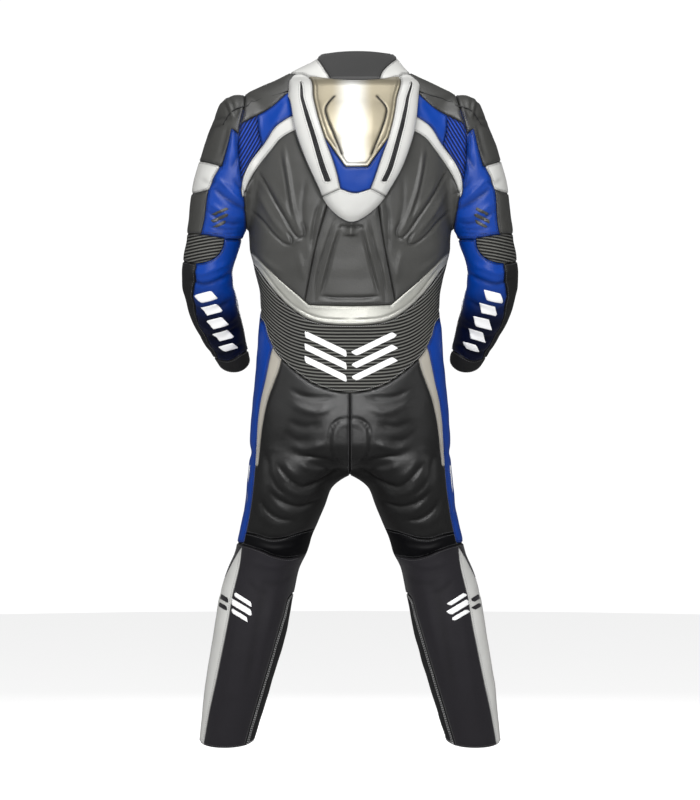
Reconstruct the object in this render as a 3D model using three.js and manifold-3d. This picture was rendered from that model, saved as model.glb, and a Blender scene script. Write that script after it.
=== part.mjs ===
// One-piece motorcycle race suit, worn form with no wearer: hollow torso, sleeves and legs, open neck, cuffs and hems.
// Units are millimetres, +Z up, the back faces +Y, the wearer's left is +X.
// The origin is on the middle plane at shoulder height, where the wearer's shoulders carry the suit.
import * as THREE from "three";
import { mergeVertices } from "three/addons/utils/BufferGeometryUtils.js";
import Module from "manifold-3d";

const wasm = await Module();
wasm.setup();

// ---------- driving sizes ----------
const WALL = 2.2; // leather and stretch cloth
const SEAM_GAP = 0.3; // between neighbouring pieces
const VIEW_DISTANCE = 5000; // the elevation tables are drawn as seen from this far behind
const VIEW_HEIGHT = -620; // and from this height
const HEM_Z = -1298; // leg hems, at mid depth
const HEM_DROP = 0.28; // how far they fall towards the heel for each millimetre back
const NECK_TOP = { z: 78, y: 44, tilt: 0.2 }; // back of the collar's top edge, and how far it falls towards the front
const CUFF = { x: 232, y: -141, z: -547, normal: [0.27, 0.57, 0.77] }; // centre and plane of the sleeve's end
const ZIP = { half: 9, top: 50, bottom: -640 };

// ---------- sections: half width, back and front depth, squareness ----------
const TORSO = [
  { z: 110, half: 56, back: 40, front: 76, n: 2.0 },
  { z: 78, half: 61, back: 44, front: 78, n: 2.0 },
  { z: 68, half: 72, back: 47, front: 78, n: 2.0 },
  { z: 52, half: 92, back: 50, front: 79, n: 2.0 },
  { z: 36, half: 115, back: 54, front: 80, n: 2.0 },
  { z: 20, half: 143, back: 60, front: 82, n: 2.0 },
  { z: 4, half: 178, back: 68, front: 84, n: 2.0 },
  { z: -12, half: 208, back: 77, front: 87, n: 2.05 },
  { z: -30, half: 217, back: 87, front: 93, n: 2.1 },
  { z: -60, half: 215, back: 99, front: 102, n: 2.2 },
  { z: -100, half: 209, back: 111, front: 112, n: 2.3 },
  { z: -150, half: 205, back: 119, front: 121, n: 2.4 },
  { z: -200, half: 202, back: 121, front: 127, n: 2.45 },
  { z: -276, half: 200, back: 115, front: 126, n: 2.5 },
  { z: -316, half: 199, back: 109, front: 122, n: 2.5 },
  { z: -348, half: 192, back: 105, front: 118, n: 2.5 },
  { z: -380, half: 184, back: 101, front: 115, n: 2.5 },
  { z: -412, half: 178, back: 98, front: 112, n: 2.45 },
  { z: -440, half: 177, back: 97, front: 111, n: 2.4 },
  { z: -480, half: 181, back: 99, front: 111, n: 2.4 },
  { z: -524, half: 184, back: 106, front: 112, n: 2.4 },
  { z: -604, half: 192, back: 121, front: 112, n: 2.4 },
  { z: -660, half: 196, back: 129, front: 109, n: 2.4 },
  { z: -705, half: 198, back: 127, front: 104, n: 2.35 },
  { z: -735, half: 190, back: 112, front: 92, n: 2.2 },
  { z: -752, half: 150, back: 78, front: 62, n: 2.0 },
  { z: -760, half: 60, back: 34, front: 26, n: 2.0 },
];
// Sleeves: outer and inner edge across, middle and half size in depth.
const SLEEVE = [
  { z: -13, outer: 238, inner: 206, mid: 0, half: 18 },
  { z: -20, outer: 250, inner: 184, mid: 0, half: 34 },
  { z: -28, outer: 258, inner: 170, mid: 0, half: 46 },
  { z: -44, outer: 265, inner: 160, mid: 0, half: 57 },
  { z: -60, outer: 271, inner: 155, mid: 0, half: 63 },
  { z: -92, outer: 285, inner: 155, mid: 0, half: 69 },
  { z: -124, outer: 295, inner: 160, mid: 0, half: 70 },
  { z: -156, outer: 305, inner: 166, mid: 0, half: 69 },
  { z: -188, outer: 313, inner: 174, mid: 0, half: 67 },
  { z: -220, outer: 317, inner: 184, mid: 0, half: 65 },
  { z: -252, outer: 320, inner: 196, mid: -1, half: 63 },
  { z: -284, outer: 325, inner: 212, mid: -2, half: 61 },
  { z: -300, outer: 326, inner: 217, mid: -2, half: 60 },
  { z: -332, outer: 332, inner: 228, mid: -5, half: 60 },
  { z: -364, outer: 335, inner: 235, mid: -13, half: 62 },
  { z: -392, outer: 334, inner: 234, mid: -28, half: 65 },
  { z: -412, outer: 330, inner: 227, mid: -41, half: 65 },
  { z: -444, outer: 321, inner: 221, mid: -64, half: 63 },
  { z: -476, outer: 307, inner: 214, mid: -88, half: 59 },
  { z: -508, outer: 289, inner: 207, mid: -112, half: 54 },
  { z: -540, outer: 268, inner: 201, mid: -136, half: 47 },
  { z: -572, outer: 246, inner: 196, mid: -160, half: 41 },
  { z: -600, outer: 228, inner: 190, mid: -181, half: 36 },
];
const LEG = [
  { z: -670, outer: 165, inner: 30, mid: 4, half: 80 },
  { z: -700, outer: 178, inner: 24, mid: 8, half: 90 },
  { z: -740, outer: 200, inner: 12, mid: 9, half: 103 },
  { z: -764, outer: 203, inner: 20, mid: 8, half: 102 },
  { z: -796, outer: 206, inner: 39, mid: 5, half: 98 },
  { z: -828, outer: 209, inner: 51, mid: 0, half: 93 },
  { z: -860, outer: 214, inner: 64, mid: -6, half: 88 },
  { z: -892, outer: 222, inner: 78, mid: -13, half: 83 },
  { z: -924, outer: 229, inner: 88, mid: -19, half: 79 },
  { z: -956, outer: 243, inner: 103, mid: -18, half: 77 },
  { z: -988, outer: 254, inner: 110, mid: -11, half: 76 },
  { z: -1020, outer: 262, inner: 116, mid: -3, half: 75 },
  { z: -1068, outer: 269, inner: 125, mid: 7, half: 74 },
  { z: -1132, outer: 279, inner: 142, mid: 13, half: 70 },
  { z: -1196, outer: 290, inner: 161, mid: 14, half: 65 },
  { z: -1260, outer: 296, inner: 181, mid: 11, half: 60 },
  { z: -1330, outer: 303, inner: 203, mid: 8, half: 55 },
];
// The aerodynamic hump on the back: half width and height over the back at each level.
const HUMP = [
  { z: 25, half: 118, rise: 3 },
  { z: 17, half: 126, rise: 40 },
  { z: 6, half: 128, rise: 52 },
  { z: -26, half: 127, rise: 58 },
  { z: -74, half: 120, rise: 60 },
  { z: -114, half: 108, rise: 57 },
  { z: -157, half: 91, rise: 51 },
  { z: -200, half: 69, rise: 42 },
  { z: -226, half: 52, rise: 35 },
  { z: -248, half: 30, rise: 26 },
  { z: -264, half: 8, rise: 8 },
];
// Across the hump from its outer edge to the middle: place across, and share of the rise.
const HUMP_PROFILE = [
  { across: 1, share: -0.5 },
  { across: 0.985, share: 0.2 },
  { across: 0.92, share: 0.72 },
  { across: 0.76, share: 0.86 },
  { across: 0.52, share: 0.95 },
  { across: 0.26, share: 0.99 },
];

// ---------- helpers ----------
const clamp = (v, a, b) => Math.min(b, Math.max(a, v));
const smooth = (a, b, v) => {
  const t = clamp((v - a) / (b - a), 0, 1);
  return t * t * (3 - 2 * t);
};
// A row of a table at height z: a monotone cubic between rows.
function rowAt(table, z) {
  const rows = table,
    last = rows.length - 1;
  if (z >= rows[0].z) return { ...rows[0], z };
  if (z <= rows[last].z) return { ...rows[last], z };
  let i = 0;
  while (z < rows[i + 1].z) i++;
  const out = { z };
  for (const key of Object.keys(rows[0])) {
    if (key === "z") continue;
    const slope = (k) => (rows[k + 1][key] - rows[k][key]) / (rows[k + 1].z - rows[k].z);
    const tangent = (k) => {
      if (k === 0) return slope(0);
      if (k === last) return slope(last - 1);
      const s = slope(k - 1),
        t = slope(k);
      return s * t <= 0 ? 0 : (2 * s * t) / (s + t);
    };
    const h = rows[i + 1].z - rows[i].z,
      t = (z - rows[i].z) / h;
    out[key] =
      (2 * t ** 3 - 3 * t ** 2 + 1) * rows[i][key] +
      (t ** 3 - 2 * t ** 2 + t) * h * tangent(i) +
      (-2 * t ** 3 + 3 * t ** 2) * rows[i + 1][key] +
      (t ** 3 - t ** 2) * h * tangent(i + 1);
  }
  return out;
}
// The back's own surface, without the hump.
function backAt(x, z, wall = 0) {
  const r = rowAt(TORSO, z);
  const f = 1 - Math.min(Math.abs(x) / (r.half - wall), 1) ** r.n;
  return (r.back - wall) * f ** (1 / r.n);
}
// Elevation space to the real shape: undoes the view's perspective, and the upper back's slight turn.
function place(p) {
  const k = (VIEW_DISTANCE - p[1]) / VIEW_DISTANCE;
  const back =
    9 * clamp(p[1] / 110, 0, 1.5) * smooth(-330, -150, p[2]) + 6 * smooth(-20, 20, p[2]) * clamp(p[1] / 60, 0, 1);
  const neck = smooth(34, 66, p[2]);
  return [
    (p[0] - back * (1 - neck) - 14.5 * neck) * k,
    p[1],
    VIEW_HEIGHT + (p[2] - VIEW_HEIGHT) * k,
  ];
}

// ---------- solids ----------
function solidFrom(geometry) {
  const g = (geometry.index ? geometry.toNonIndexed() : geometry).clone();
  const bare = new THREE.BufferGeometry().setAttribute("position", g.getAttribute("position"));
  const merged = mergeVertices(bare, 1e-4);
  const made = new wasm.Manifold(
    new wasm.Mesh({
      numProp: 3,
      vertProperties: merged.attributes.position.array,
      triVerts: new Uint32Array(merged.index.array),
    }),
  );
  if (made.volume() < 0) throw new Error("a solid is inside out");
  return made;
}
// A closed loft through rings of points, the first ring lowest.
function loft(rings) {
  const n = rings[0].length,
    pos = [];
  const tri = (a, b, c) => pos.push(...a, ...b, ...c);
  for (let i = 0; i + 1 < rings.length; i++)
    for (let j = 0; j < n; j++) {
      const a = rings[i][j],
        b = rings[i][(j + 1) % n],
        c = rings[i + 1][(j + 1) % n],
        d = rings[i + 1][j];
      tri(a, b, c);
      tri(a, c, d);
    }
  const middle = (r) => r.reduce((s, p) => [s[0] + p[0] / n, s[1] + p[1] / n, s[2] + p[2] / n], [0, 0, 0]);
  const low = middle(rings[0]),
    high = middle(rings[rings.length - 1]);
  for (let j = 0; j < n; j++) {
    tri(low, rings[0][(j + 1) % n], rings[0][j]);
    tri(high, rings[rings.length - 1][j], rings[rings.length - 1][(j + 1) % n]);
  }
  return solidFrom(new THREE.BufferGeometry().setAttribute("position", new THREE.Float32BufferAttribute(pos, 3)));
}
const power = (v, e) => Math.sign(v) * Math.abs(v) ** e;
const BACK_STEPS = 14,
  FRONT_STEPS = 8,
  SLEEVE_STEPS = 10,
  LEG_STEPS = 10;
const torsoAngles = [
  ...Array.from({ length: BACK_STEPS }, (_, i) => (Math.PI * i) / BACK_STEPS),
  ...Array.from({ length: FRONT_STEPS }, (_, i) => Math.PI + (Math.PI * i) / FRONT_STEPS),
];
const TORSO_LEVELS = [-758, -745, -725, -685, -610, -520, -440, -380, -320, -250, -180, -110, -50, -22, -2, 20, 42, 64, 108];
const SLEEVE_LEVELS = [-596, -510, -445, -395, -355, -300, -230, -160, -95, -50, -26, -14];
const LEG_LEVELS = [-1328, -1190, -1060, -985, -945, -905, -850, -790, -742, -690];

function torsoSolid(wall) {
  const rings = TORSO_LEVELS.map((z) => {
    const r = rowAt(TORSO, z);
    const drop = wall * 0.8 * smooth(-60, -10, z) * (1 - smooth(40, 60, z)) - (z < -740 ? wall : 0);
    return torsoAngles.map((t) => {
      const x = (r.half - wall) * power(Math.cos(t), 2 / r.n);
      const y = ((Math.sin(t) > 0 ? r.back : r.front) - wall) * power(Math.sin(t), 2 / r.n);
      return [x, y, z - drop];
    });
  });
  return loft(rings);
}
function humpSolid(wall) {
  const rings = HUMP.slice()
    .reverse()
    .map((r, i, all) => {
      const z = r.z + (i === 0 ? wall * 2 : 0) - (i > all.length - 4 ? wall : 0);
      const side = HUMP_PROFILE.map((q) => {
        const x = Math.max(r.half - wall, 2) * q.across;
        return [x, Math.max(backAt(x, z) + r.rise * q.share - wall, 20), z];
      });
      const middle = [0, Math.max(backAt(0, z) + r.rise - wall, 20), z];
      const ring = [...side, middle, ...side.map(([x, y, zz]) => [-x, y, zz]).reverse()];
      return [...ring, [-0.6 * r.half, 10, z], [0.6 * r.half, 10, z]];
    });
  return loft(rings);
}
function limbSolid(table, levels, steps, side, wall, n) {
  const rings = levels.map((z) => {
    const r = rowAt(table, z);
    const mid = (r.outer + r.inner) / 2,
      half = (r.outer - r.inner) / 2 - wall,
      drop = table === SLEEVE ? wall * smooth(-60, -20, z) : 0;
    return Array.from({ length: steps }, (_, j) => {
      const t = (2 * Math.PI * (j + 0.5)) / steps;
      return [
        side * (mid + side * half * power(Math.cos(t), 2 / n)),
        r.mid + (r.half - wall) * power(Math.sin(t), 2 / n),
        z - drop,
      ];
    });
  });
  return loft(rings);
}
function bodySolid(wall) {
  let s = torsoSolid(wall).add(humpSolid(wall));
  for (const side of [1, -1]) {
    s = s.add(limbSolid(SLEEVE, SLEEVE_LEVELS, SLEEVE_STEPS, side, wall, 2.1));
    s = s.add(limbSolid(LEG, LEG_LEVELS, LEG_STEPS, side, wall, 2.15));
  }
  return s;
}
// A large box whose face through point is turned to normal, on the far side of it.
function beyond(point, normal) {
  const size = 900,
    n = new THREE.Vector3(...normal).normalize();
  const g = new THREE.BoxGeometry(size, size, size);
  g.translate(0, 0, -size / 2);
  g.applyQuaternion(new THREE.Quaternion().setFromUnitVectors(new THREE.Vector3(0, 0, 1), n));
  g.translate(...point);
  return solidFrom(g);
}
let shell = bodySolid(0).subtract(bodySolid(WALL));
shell = shell.subtract(beyond([0, NECK_TOP.y, NECK_TOP.z], [0, NECK_TOP.tilt, -1]));
for (const side of [1, -1]) {
  const cutter = beyond([side * CUFF.x, CUFF.y, CUFF.z], [side * CUFF.normal[0], CUFF.normal[1], CUFF.normal[2]]);
  // Only the sleeve is cut: the box is kept in front of the hips.
  const keep = new THREE.BoxGeometry(300, 405, 500);
  keep.translate(side * 300, -297, -650);
  shell = shell.subtract(cutter.intersect(solidFrom(keep)));
  shell = shell.subtract(beyond([side * 200, 0, HEM_Z], [0, HEM_DROP, 1]));
}

// ---------- outlines on the elevation ----------
// An outline is a list of curves, each smooth through its points, meeting at corners.
function smoothCurve(points, per) {
  if (points.length < 3) return points;
  const curve = new THREE.CatmullRomCurve3(
    points.map((p) => new THREE.Vector3(p[0], p[1], 0)),
    false,
    "centripetal",
  );
  return curve.getPoints((points.length - 1) * per).map((p) => [p.x, p.y]);
}
function outline(curves, per = 1) {
  const pts = [];
  for (const c of curves)
    for (const p of smoothCurve(c, per)) {
      const q = pts[pts.length - 1];
      if (!q || Math.hypot(p[0] - q[0], p[1] - q[1]) > 0.2) pts.push(p);
    }
  while (Math.hypot(pts[0][0] - pts[pts.length - 1][0], pts[0][1] - pts[pts.length - 1][1]) < 0.2) pts.pop();
  let area = 0;
  pts.forEach((p, i) => {
    const q = pts[(i + 1) % pts.length];
    area += p[0] * q[1] - q[0] * p[1];
  });
  return area > 0 ? pts : pts.reverse();
}
const flip = (pts) => pts.map(([x, z]) => [-x, z]).reverse();
function grow(pts, by) {
  const n = pts.length;
  return pts.map((p, i) => {
    const a = pts[(i + n - 1) % n],
      b = pts[(i + 1) % n];
    const d1 = [p[0] - a[0], p[1] - a[1]],
      d2 = [b[0] - p[0], b[1] - p[1]];
    const l1 = Math.hypot(...d1),
      l2 = Math.hypot(...d2);
    const nx = d1[1] / l1 + d2[1] / l2,
      nz = -d1[0] / l1 - d2[0] / l2,
      l = Math.hypot(nx, nz) || 1;
    const miter = Math.min(2.2, 2 / l);
    return [p[0] + (nx / l) * by * miter, p[1] + (nz / l) * by * miter];
  });
}
// The prism of an outline, along Y.
function prism(pts) {
  const g = new THREE.ExtrudeGeometry(new THREE.Shape(pts.map((p) => new THREE.Vector2(p[0], p[1]))), {
    depth: 900,
    bevelEnabled: false,
  });
  g.rotateX(Math.PI / 2);
  g.translate(0, 450, 0);
  return solidFrom(g);
}
// The half space behind or before the side seam, whose depth follows the body.
function half(back, by) {
  const levels = [140, -700, -760, -830, -892, -956, -1020, -1068, -1132, -1340];
  const edge = levels.map((z) => [(z > -750 ? 4 : rowAt(LEG, z).mid) + (back ? by : -by), z]);
  const pts = back ? [...edge, [500, -1340], [500, 140]] : [...edge, [-500, -1340], [-500, 140]];
  let area = 0;
  pts.forEach((p, i) => {
    const q = pts[(i + 1) % pts.length];
    area += p[0] * q[1] - q[0] * p[1];
  });
  const ordered = area > 0 ? pts : pts.slice().reverse();
  const g = new THREE.ExtrudeGeometry(new THREE.Shape(ordered.map((p) => new THREE.Vector2(p[0], p[1]))), {
    depth: 900,
    bevelEnabled: false,
  });
  // (y, z, depth) to (x, y, z)
  g.applyMatrix4(new THREE.Matrix4().set(0, 0, 1, -450, 1, 0, 0, 0, 0, 1, 0, 0, 0, 0, 0, 1));
  return solidFrom(g);
}
const ARMHOLE = [[204, 40], [213, -24], [228, -90], [225, -155], [213, -225], [204, -300]];
const HUMP_EDGE = [[128, 16], [129, -4], [126, -26], [119, -74], [107, -114], [90, -157], [68, -200], [62, -212]];
const BAND_INNER = [[91, 27], [84, -14], [76, -54], [64, -96], [48, -140], [30, -198]];
// The dark stripe let into each band, narrow at the top.
const STRIPE = [
  { z: 18, across: 110.5, wide: 2.8 },
  { z: 0, across: 108, wide: 5 },
  { z: -20, across: 104.2, wide: 6.4 },
  { z: -60, across: 94, wide: 8 },
  { z: -100, across: 82.6, wide: 9 },
  { z: -130, across: 74.6, wide: 9.8 },
  { z: -160, across: 65, wide: 11 },
  { z: -183, across: 55, wide: 12 },
];
const stripeEdge = (f) => STRIPE.map((r) => [r.across + f * r.wide, r.z]);

// Each piece: where it is sewn, on which side, and its outline. Earlier pieces lie over later ones.
const PIECES = [
  { node: "hump_plate", side: "back", colour: "steel", curves: [[[91, 27], [45, 20], [0, 18], [-45, 20], [-91, 27]], [[-91, 27], [-84, -14], [-76, -54], [-64, -96]], [[-64, -96], [-23, -154]], [[-23, -154], [23, -154]], [[23, -154], [64, -96]], [[64, -96], [76, -54], [84, -14], [91, 27]]] },
  { node: "hump_insert", side: "back", colour: "blue", curves: [[[70, -75], [64, -96], [48, -140], [30, -198]], [[30, -198], [0, -206], [-30, -198]], [[-30, -198], [-48, -140], [-64, -96], [-70, -75]]] },
  { node: "hump_lip", side: "back", colour: "silver", curves: [[[62, -212], [51, -229], [28, -251], [0, -263], [-28, -251], [-51, -229], [-62, -212]], [[-62, -212], [-28, -196]], [[-28, -196], [28, -196]], [[28, -196], [62, -212]]] },
  { node: "hump_stripe", pair: true, side: "back", colour: "black", curves: [stripeEdge(-0.5), stripeEdge(0.5).reverse()] },
  { node: "hump_band", pair: true, side: "back", colour: "silver", curves: [HUMP_EDGE, [[62, -212], [26, -196]], [[26, -196], [26, -150]], [[26, -150], [60, 20]], [[60, 20], [91, 27], [101, 32], [116, 29], [128, 16]]] },
  { node: "scapula_band", pair: true, side: "back", colour: "silver", curves: [[[110, -44], [125, -52], [155, -73], [178, -108], [205, -146], [219, -180], [219, -222]], [[219, -222], [206, -184], [187, -150], [165, -120], [145, -96], [122, -82], [104, -78]]] },
  { node: "collar_back", side: "back", colour: "neoprene", curves: [[[47, 8], [51, 26], [59, 40], [69, 52], [84, 66]], [[84, 66], [84, 110]], [[84, 110], [-84, 110]], [[-84, 110], [-84, 66]], [[-84, 66], [-69, 52], [-59, 40], [-51, 26], [-47, 8]]] },
  { node: "zip_tape", side: "front", colour: "zip", curves: [[[ZIP.half, 120], [-ZIP.half, 120]], [[-ZIP.half, 120], [-ZIP.half, ZIP.bottom]], [[-ZIP.half, ZIP.bottom], [ZIP.half, ZIP.bottom]], [[ZIP.half, ZIP.bottom], [ZIP.half, 120]]] },
  { node: "collar_side", pair: true, side: "both", colour: "silver", curves: [[[0.15, 120], [0.15, 8]], [[0.15, 8], [60, 12], [104, 30], [150, 38]], [[150, 38], [150, 120]]] },
  { node: "cuff", pair: true, side: "both", colour: "black", curves: [[[197, -517], [210, -523], [243, -541], [273, -534], [300, -520]], [[300, -520], [360, -640]], [[360, -640], [197, -640]]] },
  { node: "arm_band", pair: true, side: "both", colour: "silver", curves: [[[360, -132], [300, -143], [265, -152]], [[265, -152], [279, -178], [286, -199]], [[286, -199], [316, -207], [360, -214]]] },
  { node: "shoulder_cap", pair: true, side: "both", colour: "black", curves: [[[204, 40], [360, 40]], [[360, 40], [360, -150]], [[360, -150], [262, -153]], [[262, -153], [253, -120], [242, -76]], [[242, -76], [229, -88]], [[229, -88], [225, -66], [215, -30], [208, 6], [204, 40]]] },
  { node: "arm_outer", pair: true, side: "both", colour: "black", curves: [[[286, -190], [291, -226], [293, -252], [299, -288]], [[299, -288], [360, -288]], [[360, -288], [360, -190]]] },
  { node: "elbow_stretch", pair: true, side: "both", colour: "stretch", curves: [[[251, -297], [299, -289], [360, -284]], [[360, -284], [360, -334]], [[360, -334], [313, -347], [285, -343], [265, -332], [254, -316], [251, -297]]] },
  { node: "forearm_outer", pair: true, side: "both", colour: "black", curves: [[[308, -330], [310, -379], [313, -402], [308, -449], [296, -479], [278, -511], [262, -540], [250, -570]], [[250, -570], [360, -570]], [[360, -570], [360, -330]]] },
  { node: "forearm", pair: true, side: "both", colour: "blue", curves: [[[202, -299], [360, -299]], [[360, -299], [360, -640]], [[360, -640], [197.5, -640]], [[197.5, -640], [197.5, -480]], [[197.5, -480], [202, -345]]] },
  { node: "sleeve_upper", pair: true, side: "both", colour: "blue", curves: [ARMHOLE, [[204, -300], [360, -300]], [[360, -300], [360, 40]]] },
  { node: "shoulder", pair: true, side: "both", colour: "black", curves: [[[104, 60], [104, 20]], [[104, 20], [130, -4], [166, -36], [208, -60], [236, -72]], [[236, -72], [236, 60]]] },
  { node: "shoulder_stretch", pair: true, side: "back", colour: "bluestretch", curves: [[[190, -30], [188, -80], [180, -118]], [[180, -118], [215, -200]], [[215, -200], [240, -200]], [[240, -200], [240, -30]]] },
  { node: "yoke", pair: true, side: "back", colour: "blue", curves: [[[100, 20], [240, -20]], [[240, -20], [215, -190]], [[215, -190], [185, -140], [150, -86], [100, -62]]] },
  { node: "waist_band", side: "back", colour: "foil", curves: [[[236, -292], [197, -325], [164, -358], [134, -386], [104, -411], [82, -430]], [[82, -430], [0, -432], [-82, -430]], [[-82, -430], [-104, -411], [-134, -386], [-164, -358], [-197, -325], [-236, -292]], [[-236, -312], [-190, -351], [-159, -393], [-128, -427], [-88, -456], [-56, -466], [0, -470], [56, -466], [88, -456], [128, -427], [159, -393], [190, -351], [236, -312]]] },
  { node: "lumbar_stretch", side: "back", colour: "stretch", curves: [[[236, -312], [190, -350], [100, -432], [0, -452], [-100, -432], [-190, -350], [-236, -312]], [[-236, -312], [-236, -458]], [[-236, -458], [-178, -458], [-163, -496], [-149, -524], [-131, -545], [-103, -568], [-76, -586], [-40, -600], [0, -606], [40, -600], [76, -586], [103, -568], [131, -545], [149, -524], [163, -496], [178, -458], [236, -458]]] },
  { node: "back_centre", side: "back", colour: "black", curves: [[[44, -190], [48, -215], [70, -318], [94, -440]], [[94, -440], [-94, -440]], [[-94, -440], [-70, -318], [-48, -215], [-44, -190]]] },
  { node: "back_side", pair: true, side: "back", colour: "black", curves: [[[0.15, -40], [240, -40]], [[240, -40], [240, -460]], [[240, -460], [0.15, -460]]] },
  { node: "side_panel", pair: true, side: "both", colour: "blue", curves: [[[240, -440], [150, -440]], [[150, -440], [150, -500]], [[150, -500], [158, -524], [162, -542], [170, -582], [178.5, -620], [184, -660], [187, -704], [189.5, -746], [193.5, -796], [202, -856], [213, -905]], [[213, -905], [300, -905]], [[300, -905], [300, -640]], [[300, -640], [240, -440]]] },
  { node: "side_strip", pair: true, side: "back", colour: "silver", curves: [[[130, -480], [136, -530], [143, -560], [152, -584], [165, -620], [174, -660], [179.5, -700], [184.5, -752]], [[184.5, -752], [240, -760]], [[240, -760], [240, -480]]] },
  { node: "seat", pair: true, side: "back", colour: "black", curves: [[[0.15, -440], [280, -440]], [[280, -440], [280, -872]], [[280, -872], [230, -881], [188, -890], [160, -899], [136, -897], [93, -883], [40, -872], [0.15, -872]]] },
  { node: "knee_back", pair: true, side: "back", colour: "neoprene", curves: [[[0.15, -860], [280, -860]], [[280, -860], [280, -905]], [[280, -905], [225, -908], [179, -921], [154, -932], [124, -938], [95, -932], [40, -922], [0.15, -922]]] },
  { node: "calf_strip", pair: true, side: "both", colour: "silver", curves: [[[217, -912], [222, -952], [229, -982], [237, -1016], [244, -1060], [255, -1115], [268, -1178], [283, -1248], [292, -1300], [300, -1345]], [[300, -1345], [380, -1345]], [[380, -1345], [380, -1020]], [[380, -1020], [264, -1016], [256, -990], [240, -955], [217, -912]]] },
  { node: "calf_inner", pair: true, side: "both", colour: "black", curves: [[[60, -1000], [117, -1008], [135, -1056], [157, -1130], [179, -1204], [205, -1292], [220, -1345]], [[220, -1345], [60, -1345]]] },
  { node: "calf", pair: true, side: "back", colour: "stretch", curves: [[[0.15, -900], [380, -900]], [[380, -900], [380, -1345]], [[380, -1345], [0.15, -1345]]] },
  { node: "leg_front", pair: true, side: "front", colour: "black", curves: [[[0.15, -768], [60, -756], [130, -742], [240, -742], [380, -742]], [[380, -742], [380, -1345]], [[380, -1345], [0.15, -1345]]] },
  { node: "front", pair: true, side: "front", colour: "black", curves: [[[0.15, 60], [260, 60]], [[260, 60], [260, -780]], [[260, -780], [0.15, -780]]] },
];
const LOOKS = {
  black: { color: 0x26262a, roughness: 0.5, metalness: 0 },
  blue: { color: 0x1746b8, roughness: 0.45, metalness: 0 },
  silver: { color: 0xdedcd4, roughness: 0.5, metalness: 0.1 },
  foil: { color: 0xc9c6b4, roughness: 0.35, metalness: 0.6 },
  steel: { color: 0xd8cbb0, roughness: 0.3, metalness: 0.9 },
  neoprene: { color: 0x3a3a3c, roughness: 0.9, metalness: 0 },
  stretch: { color: 0x24242a, roughness: 0.8, metalness: 0 },
  bluestretch: { color: 0x14399c, roughness: 0.7, metalness: 0 },
  zip: { color: 0x1c1c1e, roughness: 0.7, metalness: 0 },
  metal: { color: 0xa8a8aa, roughness: 0.35, metalness: 1 },
};

// ---------- cutting the pieces ----------
const root = new THREE.Group();
root.name = "race_suit";
function addMesh(name, colour, solid) {
  const mesh = solid.getMesh(),
    n = mesh.numProp,
    pos = new Float32Array(mesh.numVert * 3);
  for (let i = 0; i < mesh.numVert; i++) pos.set(place([...mesh.vertProperties.subarray(i * n, i * n + 3)]), i * 3);
  const g = new THREE.BufferGeometry();
  g.setAttribute("position", new THREE.BufferAttribute(pos, 3));
  g.setIndex(new THREE.BufferAttribute(mesh.triVerts, 1));
  g.computeVertexNormals();
  const m = new THREE.Mesh(g, new THREE.MeshStandardMaterial(LOOKS[colour]));
  m.name = name;
  root.add(m);
  return m;
}
const halves = { back: half(true, SEAM_GAP / 2), front: half(false, SEAM_GAP / 2) };
const wide = { back: half(true, -SEAM_GAP / 2), front: half(false, -SEAM_GAP / 2) };
let rest = shell;
const cut = {};
for (const piece of PIECES)
  for (const side of piece.pair ? [1, -1] : [1]) {
    const name = piece.node + (piece.pair ? (side > 0 ? "_L" : "_R") : "");
    const pts = outline(piece.curves),
      here = side > 0 ? pts : flip(pts);
    let tool = prism(here),
      clear = prism(grow(here, SEAM_GAP));
    if (piece.side !== "both") {
      tool = tool.intersect(halves[piece.side]);
      clear = clear.intersect(wide[piece.side]);
    }
    const bodies = rest.intersect(tool).decompose();
    bodies.sort((a, b) => b.volume() - a.volume());
    cut[name] = bodies[0];
    rest = rest.subtract(clear);
    addMesh(name, piece.colour, bodies[0]);
    if (globalThis.SUIT_REPORT)
      console.log(name, bodies[0].numTri(), Math.round(bodies[0].volume()), bodies.slice(1).filter((b) => b.volume() > 20).map((b) => Math.round(b.volume()) + " at " + JSON.stringify(b.boundingBox())).join(" "));
  }
if (globalThis.SUIT_REPORT) console.log("left over", rest.decompose().map((b) => Math.round(b.volume())).filter((v) => v > 50).join(" "));

// ---------- measuring the faceted skin ----------
// The depth of the faceted shell's back skin behind a point of the elevation.
function skinRay(x, z) {
  const m = skinRay.tris;
  let best = -1e9;
  for (const t of m) {
    const d = (t[1][2] - t[2][2]) * (t[0][0] - t[2][0]) + (t[2][0] - t[1][0]) * (t[0][2] - t[2][2]);
    if (Math.abs(d) < 1e-9) continue;
    const u = ((t[1][2] - t[2][2]) * (x - t[2][0]) + (t[2][0] - t[1][0]) * (z - t[2][2])) / d,
      v = ((t[2][2] - t[0][2]) * (x - t[2][0]) + (t[0][0] - t[2][0]) * (z - t[2][2])) / d;
    if (u < -1e-6 || v < -1e-6 || u + v > 1 + 1e-6) continue;
    best = Math.max(best, u * t[0][1] + v * t[1][1] + (1 - u - v) * t[2][1]);
  }
  return best;
}
function trianglesOf(solid) {
  const mesh = solid.getMesh(),
    n = mesh.numProp,
    out = [];
  const at = (i) => [...mesh.vertProperties.subarray(i * n, i * n + 3)];
  for (let i = 0; i < mesh.triVerts.length; i += 3) out.push([0, 1, 2].map((k) => at(mesh.triVerts[i + k])));
  return out;
}
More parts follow.
